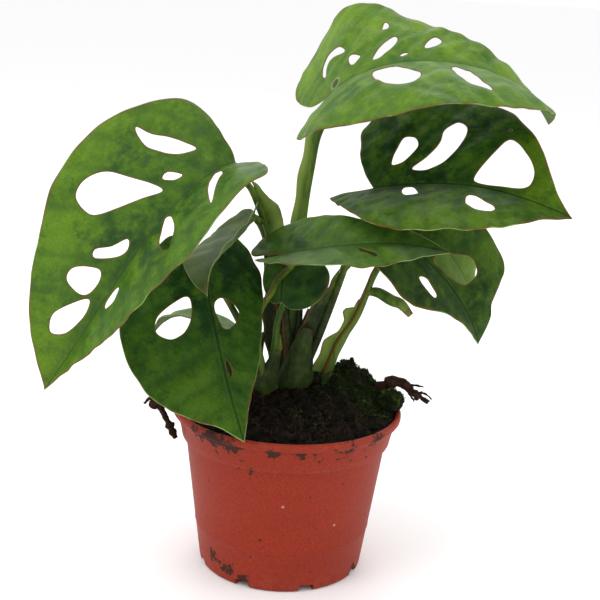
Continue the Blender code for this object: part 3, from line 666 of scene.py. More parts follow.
def vein_field(along, across, roots, fan):
    """How far along its row of veins each place is, whole numbers on a vein, and its pitch."""
    out = np.abs(across)
    origin = along - VEIN_SLANT * out
    past_tip = [roots[-1] + VEIN_LAST_PITCH, roots[-1] + 2 * VEIN_LAST_PITCH]
    roots = np.array(list(roots) + past_tip, float)
    number = np.interp(origin, roots, np.arange(len(roots)))
    upper = np.clip(np.searchsorted(roots, origin), 1, len(roots) - 1)
    pitch = (roots[upper] - roots[upper - 1]) * math.sin(VEIN_OUT_ANGLE)
    angle = np.arctan2(out, along)
    step = math.radians(fan)
    in_lobe = origin < 0
    number = np.where(in_lobe, -(angle - VEIN_OUT_ANGLE) / step, number)
    pitch = np.where(in_lobe, np.hypot(along, across) * step, pitch)
    return number, np.maximum(pitch, VEIN_LEAST_PITCH)


def veins_of(name, along, across):
    """Number and pitch of the vein row on both halves of one leaf."""
    left, right, fan = VEINS[name]
    on_left = vein_field(along, across, left, fan)
    on_right = vein_field(along, across, right, fan)
    is_left = across >= 0
    return [np.where(is_left, a, b) for a, b in zip(on_left, on_right)]


# %% [markdown]
# ## Relief of a blade
#
# Seen close, the upper face has a groove on the midrib with a raised lip on either side, shallow
# furrows along the side veins and swellings between them. The same veins stand out as ridges on
# the lower face. All of it is a height above the bent sheet, so both faces are worked out from
# one set of flat places and stay in step.

# %% Relief
BLADE_HALF = 0.25
MARGIN_HALF = 0.11
MARGIN_ROUND = 0.55
MARGIN_FADE = 1.5
QUILT_PITCH = 9.0
FINE_DENT = 0.22
BROAD_DENT = 0.30
# Each form along a vein has a height and a half width.
GROOVE = (0.24, 0.5)
GROOVE_LIP = (0.05, 0.5)
GROOVE_LIP_PLACE = 1.2
FURROW = (0.10, 0.8)
RIDGE = (0.22, 0.65)
RIDGE_REACH = 40.0
KEEL = (0.85, 0.85)
# A ring-shaped blister: its middle, its reach along and across, and its height and width.
BLISTERS = {"leaf_front_low": ((38.0, -13.0), (8.5, 3.6), (0.30, 0.28))}


def bell(distance, width):
    """A smooth hump of height one."""
    return np.exp(-(distance / width) ** 2)


def hump(form, distance):
    """A smooth hump with a form's height and half width."""
    height, width = form
    return height * bell(distance, width)


def swelling(form, name, along, across):
    """Quilting between the veins, the waved margin and small uneven dents."""
    number, pitch = veins_of(name, along, across)
    out = np.abs(across)
    swell = 0.5 - 0.5 * np.cos(2 * math.pi * number)
    start = np.minimum(1.0, out / QUILT_START)
    depth = np.minimum(1.0, pitch / QUILT_PITCH) * start
    shift = np.where(across > 0, 1.0, WAVE_SHIFT)
    wave = form.wave * (across / WAVE_OUT) ** 2 * np.sin(along / WAVE_PITCH + shift)
    bent = along * 0.62 + 1.7 * np.sin(across * 0.23)
    dents = FINE_DENT * np.sin(bent) * np.sin(across * 0.57 + 0.8)
    bent = along * 0.27 + 0.9 + np.sin(across * 0.19)
    dents = dents + BROAD_DENT * np.sin(bent) * np.sin(across * 0.31)
    height = QUILT_HEIGHT * swell * depth + wave + dents * start
    if name in BLISTERS:
        (middle, aside), (reach, width), blister = BLISTERS[name]
        ring = np.hypot((along - middle) / reach, (across - aside) / width)
        height = height + hump(blister, ring - 1.0)
    return height


def relief(form, name, along, across, margin_gap):
    """Heights of the upper and the lower face, and the distance to the nearest side vein."""
    number, pitch = veins_of(name, along, across)
    nearest = np.abs(number - np.round(number)) * pitch
    out = np.abs(across)
    sheet = swelling(form, name, along, across)
    taper = np.sqrt(np.clip(1.0 - along / form.length, 0.0, 1.0))
    thin = 1.0 - np.exp(-margin_gap / MARGIN_ROUND)
    half = MARGIN_HALF + (BLADE_HALF - MARGIN_HALF) * thin
    inside = np.clip(margin_gap / MARGIN_FADE, 0.0, 1.0)
    groove = hump(GROOVE_LIP, out - GROOVE_LIP_PLACE) - hump(GROOVE, out)
    ridge = hump(RIDGE, nearest) * np.clip(1.0 - out / RIDGE_REACH, 0.2, 1.0)
    upper = sheet + half + (groove * taper - hump(FURROW, nearest)) * inside
    lower = sheet - half - (hump(KEEL, out) * taper + ridge) * inside
    return upper, lower, nearest


# %% [markdown]
# ## The ten leaves
#
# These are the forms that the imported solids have: where the midrib starts and ends, how it
# lifts and drops, how far each half folds up and curls down, the margin on either side, and
# each hole as a closed curve through a few points. Places are (along, out or across).

# %% Leaf forms
LEAVES = {
    "leaf_left_large": dict(
        base=(-23, -20, 162), tip=(-85, -50, 83), lift=52, drop=8, roll=-40,
        fold=(36, 34), curl=(4, 16), handles=(0.36, 0.37), wave=1.0, finish="blade",
        left=[(0.5, 3), (2, 11), (7, 20.5), (12, 28), (17, 25.5), (26, 26.5), (42, 29), (58, 26),
              (74, 20), (92, 10), (104, 3)],
        right=[(-1, 4), (0, 14), (4, 26), (14, 33.5), (30, 38.5), (50, 36.5), (66, 31), (75, 28),
               (90, 20), (102, 10)],
        holes=[
            [(12.5, -10.5), (19, -13), (23.5, -20), (23.5, -25.5), (22, -29), (20, -23), (16.5, -18)],
            [(30, -7), (37, -10.5), (48.5, -18), (50.5, -22.5), (48.5, -28), (43, -29), (37.5, -25.5),
             (34, -18)],
            [(22, -6), (25, -6.5), (27.5, -9.5), (25, -10)],
            [(10.5, 1.8), (14, 2.2), (20.5, 8), (25.5, 17), (18, 9.5), (12, 5)],
            [(35.5, 1.8), (38, 1.8), (45, 10.5), (43.5, 16.5), (38, 11.5), (35.5, 5.5)],
            [(50, -5.5), (53, -3.5), (57, -5), (61.5, -11), (59, -12.5), (55, -8.5)],
            [(64, -8), (67, -5.5), (73, -6), (75, -9), (73, -15), (68, -15)],
            [(65, 3.5), (67, 2), (72.5, 2), (73.5, 4.5), (69.5, 7), (66, 6)],
            [(75, -5), (78, -3.5), (83, -3.5), (89.5, -5.5), (92, -10), (86, -12.5), (78.5, -8.5)],
        ],
    ),
    "leaf_front_low": dict(
        base=(-35, -10, 123), tip=(-14, -54, 69), lift=-4, drop=-12, roll=2,
        fold=(-8, 6), curl=(18, 10), handles=(0.37, 0.39), wave=0.8, finish="blade",
        left=[(-5, 2), (-13, 9), (-11, 17), (-3, 23), (11, 24.5), (26, 21), (42, 15), (56, 7.5)],
        right=[(-5, 3), (-11, 9), (-6, 17), (4, 25), (14, 31), (24, 35.5), (38, 35), (51, 30.5),
               (59, 22.5), (64, 13), (68, 6)],
        holes=[
            [(14.5, -8), (22, -8.5), (28, -12.5), (30, -18), (27, -22.5), (21, -21), (15.5, -13)],
            [(27.5, 4), (22.5, 1.8), (17.5, 1.8), (15, 5), (17, 9.5), (21, 11.5), (25.5, 8.5)],
            [(39.5, 1.8), (42.5, 1.2), (46.5, 2), (43.5, 3)],
        ],
    ),
    "leaf_left_small": dict(
        base=(-16, -6, 142), tip=(-30, -34, 116), lift=-8, drop=52, roll=20, twist=-10,
        fold=(41, 1), curl=(15, 10), handles=(0.41, 0.38), wave=0.4, finish="young_blade",
        left=[(-2, 3), (-1, 6), (6, 8), (16, 8), (27, 5), (36, 2)],
        right=[(-2, 3), (-1, 9), (6, 15), (16, 18), (28, 16), (37, 7)],
        holes=[],
    ),
    "leaf_front_middle": dict(
        base=(-4, -18, 129), tip=(55, -37, 137), lift=9, drop=17, roll=14, twist=20,
        fold=(16, 16), curl=(13, 16), handles=(0.34, 0.38), wave=0.6, finish="blade",
        left=[(-6, 1.5), (-13, 2.5), (-15, 6.5), (-13, 13), (-5, 19.5), (8, 20), (22, 16), (34, 10.5),
              (48, 6)],
        right=[(-5, 1.5), (-9, 4.5), (-7, 9.5), (2, 16), (13, 18), (28, 19), (38, 19.5), (46, 15.5),
               (53, 8), (59, 3)],
        holes=[[(30, -3.5), (34, -6.5), (38.5, -9), (38, -11.2), (34, -8.8), (31, -5.5)]],
    ),
    "leaf_top": dict(
        base=(10, -5, 187), tip=(89, -12, 181), lift=61, drop=66, roll=40, twist=-27,
        fold=(6, 22), curl=(10, 34), handles=(0.43, 0.44), wave=1.0, finish="young_blade",
        left=[(-9, 2), (-17, 6), (-25, 15), (-25.5, 23), (-20, 34), (-13, 41), (-4, 43.5), (9, 41.5),
              (20, 37.5), (28, 30.5), (38, 25), (48, 20.5), (58, 16.5), (72, 11), (86, 4.5)],
        right=[(-4, 2), (-11, 7), (-15, 13), (-10, 18), (0, 24), (14, 30.5), (30, 35.5), (47, 36.5),
               (63, 32), (77, 21), (88, 9)],
        holes=[
            [(5.5, 17.8), (0, 18.2), (-4, 17.8), (-5, 12.5), (-7, 14.5), (-7, 20.5), (-2.5, 23.5),
             (3, 21.5)],
            [(9, 12.5), (12, 11.5), (14.5, 9.5), (12, 7.2), (9.8, 8.5)],
            [(26.5, 16.5), (28.5, 14), (27.5, 9.5), (24, 5), (20.5, 5), (21, 8.5), (23.5, 13.5)],
            [(21.5, 26.5), (23.3, 24.5), (23.3, 22.5), (21, 22.5)],
            [(33.8, 5.2), (31.5, 3.8), (30.8, 5), (32, 6)],
            [(39.5, 8), (39.8, 11), (42.5, 15), (45, 13), (43.5, 9.5)],
            [(23, -3.5), (31, -4.5), (35.5, -9), (40, -12.5), (40.5, -18), (38.5, -21.5), (32, -19),
             (25.5, -12)],
            [(50, -7), (53, -7.5), (57.5, -15), (61, -23.5), (56, -22.5), (51.5, -16), (50, -11)],
        ],
    ),
    "leaf_right": dict(
        base=(28, -4, 153), tip=(95, -40, 152), lift=17, drop=24, roll=33,
        fold=(22, 21), curl=(14, 17), handles=(0.39, 0.42), wave=0.8, finish="blade",
        left=[(-5, 6), (-10, 14), (-13, 22), (-15.5, 30), (-9, 37), (6, 40), (24, 40), (42, 35.5),
              (50, 29.5), (58, 22), (66, 11.5), (71.5, 5)],
        right=[(-6, 1), (-13, 2), (-16.5, 6), (-9, 13), (1, 20.5), (11, 27), (27, 33), (42, 33.5),
               (52, 30), (60, 23), (69, 10)],
        holes=[
            [(5.5, 10), (5.8, 16.5), (8, 21.5), (12.5, 21), (15, 16.5), (11, 10.5)],
            [(15.5, 7), (20.5, 12), (23.5, 18.5), (23.5, 24), (27.5, 27.5), (32, 24.5), (31.5, 17),
             (27.5, 9.5), (22, 6)],
            [(43, 1.8), (41, 4), (43.5, 12), (47, 20.5), (51, 20.5), (58.5, 13.5), (60.5, 8), (58.5, 4),
             (50, 2)],
            [(25, -10.5), (21, -10.5), (17.5, -8), (15.5, -3), (19, -3.5), (23, -7)],
            [(43, -9), (47, -9), (53.5, -12.5), (53.5, -16), (49.5, -18), (45, -15)],
        ],
    ),
    "leaf_right_low": dict(
        base=(38, -6, 135), tip=(73, 2, 93), lift=31, drop=28, roll=53,
        fold=(20, 17), curl=(12, 12), handles=(0.32, 0.38), wave=1.6, finish="blade",
        left=[(-5, 3), (-8, 10), (-3, 20), (8, 27), (22, 28.5), (34, 28), (41, 25.5), (43, 18.5),
              (47, 12), (53, 7)],
        right=[(-5, 2), (-10, 8), (-10.5, 15), (-4, 20.5), (12, 25), (21, 21.5), (30, 14), (40, 8),
               (50, 3.5)],
        holes=[
            [(16.5, 1.8), (16, 5), (22.5, 12), (27, 15), (32, 12.5), (32, 6), (25.5, 2.4), (19.5, 1.8)],
            [(14.5, -11), (17, -8.8), (23, -10), (23.5, -12.3), (20, -13)],
        ],
    ),
    "leaf_middle_small": dict(
        base=(-4.5, 0.5, 106), tip=(-3, 4, 129), lift=10, drop=8, roll=0,
        fold=(6, 6), curl=(20, 20), handles=(0.36, 0.36), wave=0.3, finish="blade",
        left=[(-1, 3), (2, 6), (7, 8), (13, 8), (19, 6)],
        right=[(-2, 5), (0, 12), (6, 18), (14, 19), (20, 12)],
        holes=[],
    ),
    "leaf_right_back": dict(
        base=(50, 16, 135), tip=(72, 22, 108), lift=24, drop=16, roll=60,
        fold=(8, 8), curl=(14, 14), handles=(0.36, 0.36), wave=0.4, finish="young_blade",
        left=[(-3, 3), (-3, 9), (4, 14), (16, 14), (28, 8)],
        right=[(-3, 3), (-3, 9), (4, 14), (16, 14), (28, 8)],
        holes=[],
    ),
    "leaf_left_back": dict(
        base=(-25, 6, 93), tip=(-57, 12, 84), lift=30, drop=50, roll=6,
        fold=(8, 8), curl=(14, 14), handles=(0.55, 0.5), wave=0.4, finish="young_blade",
        left=[(-2, 3), (-1, 7), (6, 10), (18, 10), (29, 6)],
        right=[(-2, 3), (-1, 7), (6, 10), (18, 10), (29, 6)],
        holes=[],
    ),
}
print("leaves", len(LEAVES), "holes", sum(len(leaf["holes"]) for leaf in LEAVES.values()))

# %% [markdown]
# ## Cutting a blade out
#
# A blade could be a plane that is bent and trimmed, but its margin, its tears and its round holes
# need clean edges that no grid gives. So the outline and the holes are smooth curves through a few
# measured points, the space between them is filled with an even spread of points, and a
# constrained triangulation joins them all. Both faces get the same triangles and a narrow rim
# closes them, which makes one watertight skin with the real thickness.

# %% Curves through points
def smooth_curve(points, step, closed=False):
    """Read a Catmull-Rom curve through points about every step along it."""
    points = [np.array(point, float) for point in points]
    if closed:
        padded = [points[-1]] + points + points[:2]
    else:
        padded = [2 * points[0] - points[1]] + points + [2 * points[-1] - points[-2]]
    curve = []
    for before, start, end, after in zip(padded, padded[1:], padded[2:], padded[3:]):
        pieces = max(1, round(float(np.linalg.norm(end - start)) / step))
        u = column(np.arange(pieces) / pieces)
        curve.append(0.5 * (2 * start + (end - before) * u
                            + (2 * before - 5 * start + 4 * end - after) * u ** 2
                            + (3 * start - before - 3 * end + after) * u ** 3))
    if not closed:
        curve.append(points[-1][None, :])
    return np.concatenate(curve)


def margin_ring(leaf, length):
    """The blade's margin as one ring, from the base notch round by the tip."""
    right = [(along, -out) for along, out in leaf["right"]]
    lower = smooth_curve([(0, 0)] + right + [(length, 0)], MARGIN_STEP)
    upper = smooth_curve([(0, 0)] + list(leaf["left"]) + [(length, 0)], MARGIN_STEP)
    return np.concatenate([lower, upper[-2:0:-1]])


# %% Measure places against rings
def gap_to(ring, places):
    """Distance from each place to a closed ring."""
    best = np.full(len(places), 1e9)
    for start, end in zip(ring, np.roll(ring, -1, axis=0)):
        edge = end - start
        share = np.clip((places - start) @ edge / max(edge @ edge, 1e-9), 0.0, 1.0)
        away = places - start - column(share) * edge
        best = np.minimum(best, np.einsum("ij,ij->i", away, away))
    return np.sqrt(best)


def inside_of(ring, places):
    """True for each place that a closed ring encloses."""
    inside = np.zeros(len(places), bool)
    x, y = places[:, 0], places[:, 1]
    for (ax, ay), (bx, by) in zip(ring, np.roll(ring, -1, axis=0)):
        if ay == by:
            continue
        crosses = ((ay > y) != (by > y)) & (x < (bx - ax) * (y - ay) / (by - ay) + ax)
        inside ^= crosses
    return inside


def in_tissue(rings, places):
    """True for each place inside the first ring and outside the others."""
    inside = inside_of(rings[0], places)
    for ring in rings[1:]:
        inside &= ~inside_of(ring, places)
    return inside


# %% Spread points over a blade
MARGIN_STEP = 1.0
HOLE_STEP = 0.8
SPREAD = 0.95
ROW_PITCH = 0.866
RIM_INSET = 0.4
RIM_CLEAR = 0.3
GRID_CLEAR = RIM_INSET + 0.45
MIDRIB_ROWS = (0.0, 0.45, 0.9, 1.35, 1.9)
MIDRIB_STEP = 1.1


def inset_points(ring):
    """Points just inside and outside a ring, for the round of the margin."""
    ahead = np.roll(ring, -1, axis=0) - np.roll(ring, 1, axis=0)
    side = unit(np.stack([-ahead[:, 1], ahead[:, 0]], axis=1))
    return np.concatenate([ring + side * RIM_INSET, ring - side * RIM_INSET])


def spread_points(rings, length):
    """Rows along the midrib, a row beside every edge and an even spread between them."""
    margin = rings[0]
    low, high = margin.min(axis=0), margin.max(axis=0)
    rows = np.arange(low[1], high[1], SPREAD * ROW_PITCH)
    grid = []
    for index, across in enumerate(rows):
        along = np.arange(low[0] + SPREAD * 0.5 * (index % 2), high[0], SPREAD)
        grid.append(np.stack([along, np.full(len(along), across)], axis=1))
    grid = np.concatenate(grid)
    grid = grid[np.abs(grid[:, 1]) > MIDRIB_ROWS[-1] + SPREAD * 0.6]
    spine = np.arange(MIDRIB_STEP, length - MIDRIB_STEP, MIDRIB_STEP)
    offsets = sorted({sign * row for row in MIDRIB_ROWS for sign in (-1.0, 1.0)})
    ribs = np.concatenate([np.stack([spine, np.full(len(spine), row)], axis=1) for row in offsets])
    edges = np.concatenate([inset_points(ring) for ring in rings])
    kept = []
    for places, clear in ((grid, GRID_CLEAR), (ribs, RIM_CLEAR), (edges, RIM_CLEAR)):
        gaps = np.min([gap_to(ring, places) for ring in rings], axis=0)
        kept.append(places[in_tissue(rings, places) & (gaps > clear)])
    return np.concatenate(kept)


# %% Triangulate and close a blade
FAR = 50.0


def triangulate(rings, spread):
    """Join the rings and the spread points, and drop what lies outside the tissue."""
    edges, first = [], 0
    for ring in rings:
        count = len(ring)
        edges += [(first + i, first + (i + 1) % count) for i in range(count)]
        first += count
    flat = [Vector(place) for place in np.concatenate(rings + [spread])]
    places, _, triangles, _, _, _ = delaunay_2d_cdt(flat, edges, [], 0, 1e-6)
    places = np.array(places)
    triangles = np.array(triangles)
    inside = in_tissue(rings, places[triangles].mean(axis=1))
    used, numbers = np.unique(triangles[inside], return_inverse=True)
    return places[used], numbers.reshape(-1, 3)


def rim_faces(triangles, count):
    """Faces between the two skins, on every edge that only one triangle has."""
    sides = set()
    for a, b, c in triangles.tolist():
        sides.update(((a, b), (b, c), (c, a)))
    return [(b, a, a + count, b + count) for a, b in sides if (b, a) not in sides]


def make_blade(name, leaf):
    """Cut a blade out and bend both its faces onto the leaf's form."""
    form = LeafForm(leaf)
    rings = [margin_ring(leaf, form.length)]
    rings += [smooth_curve(hole, HOLE_STEP, closed=True) for hole in leaf["holes"]]
    places, triangles = triangulate(rings, spread_points(rings, form.length))
    along, across = places[:, 0], places[:, 1]
    margin_gap = gap_to(rings[0], places)
    hole_gap = np.full(len(places), FAR)
    for ring in rings[1:]:
        hole_gap = np.minimum(hole_gap, gap_to(ring, places))
    gap = np.minimum(margin_gap, hole_gap)
    upper, lower, nearest = relief(form, name, along, across, gap)
    skins = np.concatenate([form.place(along, across, upper), form.place(along, across, lower)])
    count = len(places)
    faces = triangles.tolist() + (triangles[:, ::-1] + count).tolist()
    faces += rim_faces(triangles, count)
    item = object_from("blade" + name[4:], skins, faces)
    item.data.shade_smooth()
    both = {"along": along, "across": across, "vein": nearest, "margin": margin_gap, "rim": hole_gap}
    for label, values in both.items():
        set_numbers(item, label, np.concatenate([values, values]))
    set_numbers(item, "under", np.repeat([0.0, 1.0], count))
    return item


# %% [markdown]
# ## Blade finish
#
# A blade's green isn't even. Young tissue near the tip is yellower, old tissue over the midrib is
# darker, and both break up into soft blotches a few millimetres wide. The halves that face the
# light are painted lighter and places under another leaf are painted darker: painted light and
# painted shade. The side veins hardly show from above, as faint darker furrows whose darkening is
# painted shade, as is the dark line in the midrib's groove. A net of tiny veins shows in the sheen,
# and the margin is a thin pale line, partly a painted highlight where the cut edge catches the
# light, that has turned brown in places. The lower face is paler and matt. All of it follows the
# leaf, so the finish reads the distances that were kept on the mesh, and each leaf adds its own
# light and dark places, its blotches with painted light and shade.

# %% Greens
# Each leaf has its even green, its yellow green, its deep green, how brown its margin is and how
# strong its sheen is. The greens of leaf_front_low, leaf_right and leaf_right_low are darker partly
# by painted shade from the leaves above them.
GREENS = {
    "leaf_left_large": ((0.045, 0.116, 0.007), (0.100, 0.205, 0.006), (0.016, 0.056, 0.010), 0.75, 0.20),
    "leaf_front_low": ((0.022, 0.068, 0.006), (0.055, 0.122, 0.007), (0.005, 0.026, 0.005), 0.35, 0.08),
    "leaf_left_small": ((0.046, 0.086, 0.016), (0.085, 0.125, 0.026), (0.018, 0.048, 0.009), 0.40, 0.24),
    "leaf_front_middle": ((0.056, 0.126, 0.014), (0.100, 0.195, 0.022), (0.016, 0.052, 0.009), 0.50, 0.14),
    "leaf_top": ((0.066, 0.152, 0.010), (0.135, 0.245, 0.009), (0.030, 0.090, 0.010), 0.65, 0.14),
    "leaf_right": ((0.020, 0.064, 0.006), (0.075, 0.148, 0.007), (0.005, 0.022, 0.005), 0.60, 0.05),
    "leaf_right_low": ((0.020, 0.052, 0.006), (0.058, 0.116, 0.007), (0.006, 0.023, 0.005), 0.55, 0.06),
    "leaf_middle_small": ((0.018, 0.064, 0.006), (0.040, 0.100, 0.007), (0.007, 0.030, 0.006), 0.40, 0.14),
    "leaf_right_back": ((0.120, 0.215, 0.026), (0.190, 0.300, 0.040), (0.070, 0.140, 0.018), 0.20, 0.14),
    "leaf_left_back": ((0.066, 0.150, 0.012), (0.120, 0.215, 0.020), (0.030, 0.080, 0.010), 0.45, 0.14),
}
CREAM = (0.30, 0.36, 0.13)
BROWN_EDGE = (0.15, 0.060, 0.016)
RIB_LIGHT = (0.12, 0.21, 0.03)
PALE_UNDER = (0.16, 0.25, 0.09)
SCAR_AND_SHADE_DARK = (0.020, 0.022, 0.008)
PATTERN_SHIFT = 140.0
NET_SCALE = 0.55
# Places that are lighter or darker than the rest of their leaf: (along, across), reach, amount.
# Some are the leaf's own blotches. The others are painted light where a half faces the light, and
# painted shade where a leaf lies under another one or dips near its base.
BLOTCHES_AND_PAINTED_LIGHT = {
    "leaf_left_large": [((64, -27), 15, 0.8), ((42, -38), 14, 0.7), ((27, -37), 12, 0.5),
                        ((104, -3), 20, 0.7), ((92, -13), 15, 0.6), ((55, -23), 9, 0.6),
                        ((12, -24), 11, 0.3), ((84, 10), 12, 0.3), ((46, 2), 20, -0.7),
                        ((22, 6), 18, -0.4), ((28, -22), 10, -0.5), ((56, -14), 7, -0.6)],
    "leaf_front_low": [((2, 16), 19, -0.9), ((8, -10), 16, -0.8), ((22, -1), 14, -0.7),
                       ((54, -15), 15, 0.7), ((64, -3), 13, 0.7), ((46, 7), 10, 0.4),
                       ((38, -26), 12, 0.4), ((46, -8), 9, 0.5), ((12, -26), 8, 0.3)],
    "leaf_left_small": [((30, -10), 10, 0.5), ((6, -4), 8, 0.6), ((16, -16), 7, 0.5),
                        ((4, 6), 8, -0.6)],
    "leaf_front_middle": [((5, 6), 9, -0.9), ((12, 17), 9, 0.3), ((44, -8), 12, 0.5),
                          ((-2, -10), 9, 0.7), ((14, -14), 9, 0.5), ((48, 3), 10, -0.5)],
    "leaf_top": [((-7, 33), 13, 0.7), ((4, 37), 11, 0.6), ((16, 25), 11, 0.6), ((-18, 24), 12, 0.8),
                 ((36, 22), 11, 0.4), ((50, 9), 10, 0.5), ((74, 3), 13, 0.7), ((-6, -9), 9, 0.4),
                 ((34, 0), 9, -0.6), ((16, -16), 11, -0.5), ((48, -30), 11, -0.5), ((60, 8), 8, -0.4)],
    "leaf_right": [((18, 3), 20, -0.8), ((0, 27), 15, -0.6), ((34, 26), 11, -0.7), ((60, 17), 14, 1.0),
                   ((66, 3), 13, 1.0), ((37, -26), 15, 1.0), ((56, -22), 14, 1.0), ((16, -24), 12, 0.6),
                   ((10, 33), 8, 0.3), ((30, -10), 9, 0.3)],
    "leaf_right_low": [((40, 8), 13, -0.5), ((20, -12), 13, -0.6), ((30, 24), 9, 0.9),
                       ((10, 20), 11, 0.5), ((40, 22), 7, 0.5), ((6, 4), 9, -0.4)],
    "leaf_middle_small": [((8, 3), 9, 0.8), ((8, -12), 9, -0.7)],
    "leaf_right_back": [],
    "leaf_left_back": [],
}
# Scars: (along, across) and reach. The spot near the base of leaf_top is painted shade, a dark spot where
# a fold shades the blade.
SCARS_AND_FOLD_SHADE = {
    "leaf_top": [((3.0, 3.0), 4.2)],
    "leaf_left_small": [((30.0, 3.4), 1.1)],
    "leaf_right": [((47.0, 25.5), 1.2)],
}


def near_flat(place, centre, shift, reach, ragged):
    """1 at a place of the leaf and 0 past a reach, with a ragged edge, all in millimetres."""
    settings = {"operation": "DISTANCE"}
    gap = place.node("VectorMath", settings, {0: place, 1: (*centre, shift)}, output=1)
    return fall(gap + ragged * reach, 0.1 * reach, reach)


def light_and_shade(place, name, shift, middle):
    """How much lighter, and how much darker, a leaf's listed places make it: its own blotches, painted
    light and painted shade.
    """
    lighter, darker = middle * 0.0, middle * 0.0
    ragged = middle * 1.6 - 0.8
    for centre, reach, amount in BLOTCHES_AND_PAINTED_LIGHT[name]:
        spot = near_flat(place, centre, shift, reach, ragged)
        if amount > 0:
            lighter = lighter + spot * amount
        else:
            darker = darker - spot * amount
    return lighter * 0.24, darker * 0.24


def blade_tissue(field, place, name, shift):
    """The green of a blade, from its own places, its veins, its groove and soft noise, with painted light
    and shade from its listed places and painted shade in its furrows and groove.
    """
    green, light, dark, _, _ = GREENS[name]
    vein, out = read(field, "vein"), abs(read(field, "across"))
    middle = cloud(place, 0.15, 4.0, 0.62)
    small = cloud(place, 0.42, 4.0, 0.65)
    fine = cloud(place, 1.3, 3.0, 0.6)
    net = cell_walls(place, NET_SCALE)
    lighter, darker = light_and_shade(place, name, shift, middle)
    blotch = middle * 0.68 + small * 0.32
    # Painted shade in the furrows along the side veins.
    furrow_shade = fall(vein, 0.1, 2.4) * rise(small, 0.34, 0.60)
    lip = rise(out, 0.4, 0.8) * fall(out, 1.0, 1.7)
    return paint_over(
        green,
        # The listed places add painted light and painted shade besides the leaf's own blotches.
        (light, rise(blotch + lighter, 0.42, 0.70)),
        (dark, rise(1.0 - blotch + darker, 0.50, 0.80) * 0.9),
        (dark, furrow_shade * 0.42),
        (dark, fall(out, 0.5, 4.5) * rise(small, 0.36, 0.64) * 0.5),
        (light, rise(fine, 0.52, 0.74) * 0.22),
        (dark, fall(fine, 0.28, 0.46) * 0.24),
        (dark, fall(net, 0.02, 0.10) * 0.20),
        (light, fall(vein, 0.05, 0.30) * 0.16),
        (RIB_LIGHT, lip * rise(small, 0.4, 0.6) * 0.16),
        # Painted shade in the midrib's groove.
        (dark, fall(out, 0.12, 0.5) * 0.75))


def blade_edges(colour, field, place, name, shift):
    """The pale and brown lines round the margin and the holes, the pale margin line partly a painted
    highlight, and the scars, the one on leaf_top being painted shade.
    """
    browning = GREENS[name][3]
    margin, rim = read(field, "margin"), read(field, "rim")
    aged = rise(cloud(place, 0.09, 3.0) + browning * 0.3, 0.58, 0.74)
    line = blend_colour(CREAM, BROWN_EDGE, aged)
    colour = paint_over(
        colour,
        (BROWN_EDGE, fall(margin, 0.2, 1.3) * aged * 0.45),
        # The pale margin line is partly a painted highlight where the cut edge catches the light.
        (line, fall(margin, 0.08, 0.34) * 0.75),
        (BROWN_EDGE, fall(rim, 0.10, 0.55) * (0.4 + browning * 0.6)))
    for centre, reach in SCARS_AND_FOLD_SHADE.get(name, []):
        spot = near_flat(place, centre, shift, reach, cloud(place, 0.42, 4.0, 0.65) * 0.3)
        # On leaf_top this dark spot is painted shade in a fold.
        colour = paint_over(colour, (CREAM, rise(spot, 0.02, 0.25) * 0.45),
                            (SCAR_AND_SHADE_DARK, rise(spot, 0.35, 0.55) * 0.85))
    return colour


def blade_material(name, shift):
    """One leaf's finish: its own greens and its own place in the noise."""
    material, shader, field = new_material("blade" + name[4:])
    flat = field.node("CombineXYZ", None, {0: read(field, "along"), 1: read(field, "across"), 2: shift})
    colour = blade_tissue(field, flat, name, shift)
    colour = blade_edges(colour, field, flat, name, shift)
    under = rise(read(field, "under"), 0.3, 0.7)
    ribbed = blend_colour(PALE_UNDER, CREAM, fall(read(field, "vein"), 0.1, 0.8) * 0.4)
    lower = blend_colour(colour, ribbed, under * 0.5)
    gloss = cloud(flat, 0.30, 3.0)
    net = rise(cell_walls(flat, NET_SCALE), 0.0, 0.16)
    height = net * 0.6 + cloud(flat, 2.4, 3.0) * 0.4
    plug(shader, {"Base Color": blend_colour(colour, lower, under),
                  "Roughness": 0.40 + gloss * 0.16 + under * 0.20,
                  "Specular IOR Level": GREENS[name][4], "Normal": bump(height, 0.10 * MM, 0.5)})
    let_light_in(shader, 0.12, 0.6)
    return material


# %% Make the ten blades
for order, (leaf_name, leaf) in enumerate(LEAVES.items()):
    blade = make_blade(leaf_name, leaf)
    finish = blade_material(leaf_name, PATTERN_SHIFT * (order + 1))
    hand_over(blade, leaf["finish"], [leaf_name], finish)

# %% [markdown]
# ## Peat
#
# The pot is filled with dark fibrous peat, a little low at the rim and heaped on the right, where
# a root ball pushes up. The plug is turned like the pot, then its top is raised to the heap and
# roughened with noise at three sizes, because real peat is clods on clods. Single crumbs, fibres
# and moss are separate small shapes strewn over it: they break the outline, which a bump can't.

# %% Peat plug
PEAT_SIDES = 160
PEAT_RINGS = 44
PEAT_RIM = 62.0
PEAT_RISE = 8.0
HEAP_PLACE = Vector((25.0, 12.0, 0.0))
HEAP_RISE = 11.5
HEAP_SPREAD = 15.0
PEAT_LUMP = 0.9
PEAT_GAP = 0.3
PEAT_EDGE = 42.2
# Each size of clod: how many lie side by side in a millimetre, and how high they stand.
CLODS = ((0.16, 1.5), (0.42, 0.9), (1.1, 0.45))


def peat_height(x, y):
    """Height of the peat at a place, in millimetres, clods and all."""
    share = math.hypot(x, y) / RIM
    away = (Vector((x, y, 0.0)) - HEAP_PLACE).length / HEAP_SPREAD
    height = PEAT_RIM + PEAT_RISE * max(0.0, 1.0 - share ** 2) + HEAP_RISE * math.exp(-away ** 2)
    height += PEAT_LUMP * (math.sin(x * 0.71 + y * 0.29) + math.sin(y * 0.83 - x * 0.37 + 1.3))
    for pitch, size in CLODS:
        height += size * noise.noise(Vector((x * pitch, y * pitch, pitch * 9.0)))
    return height


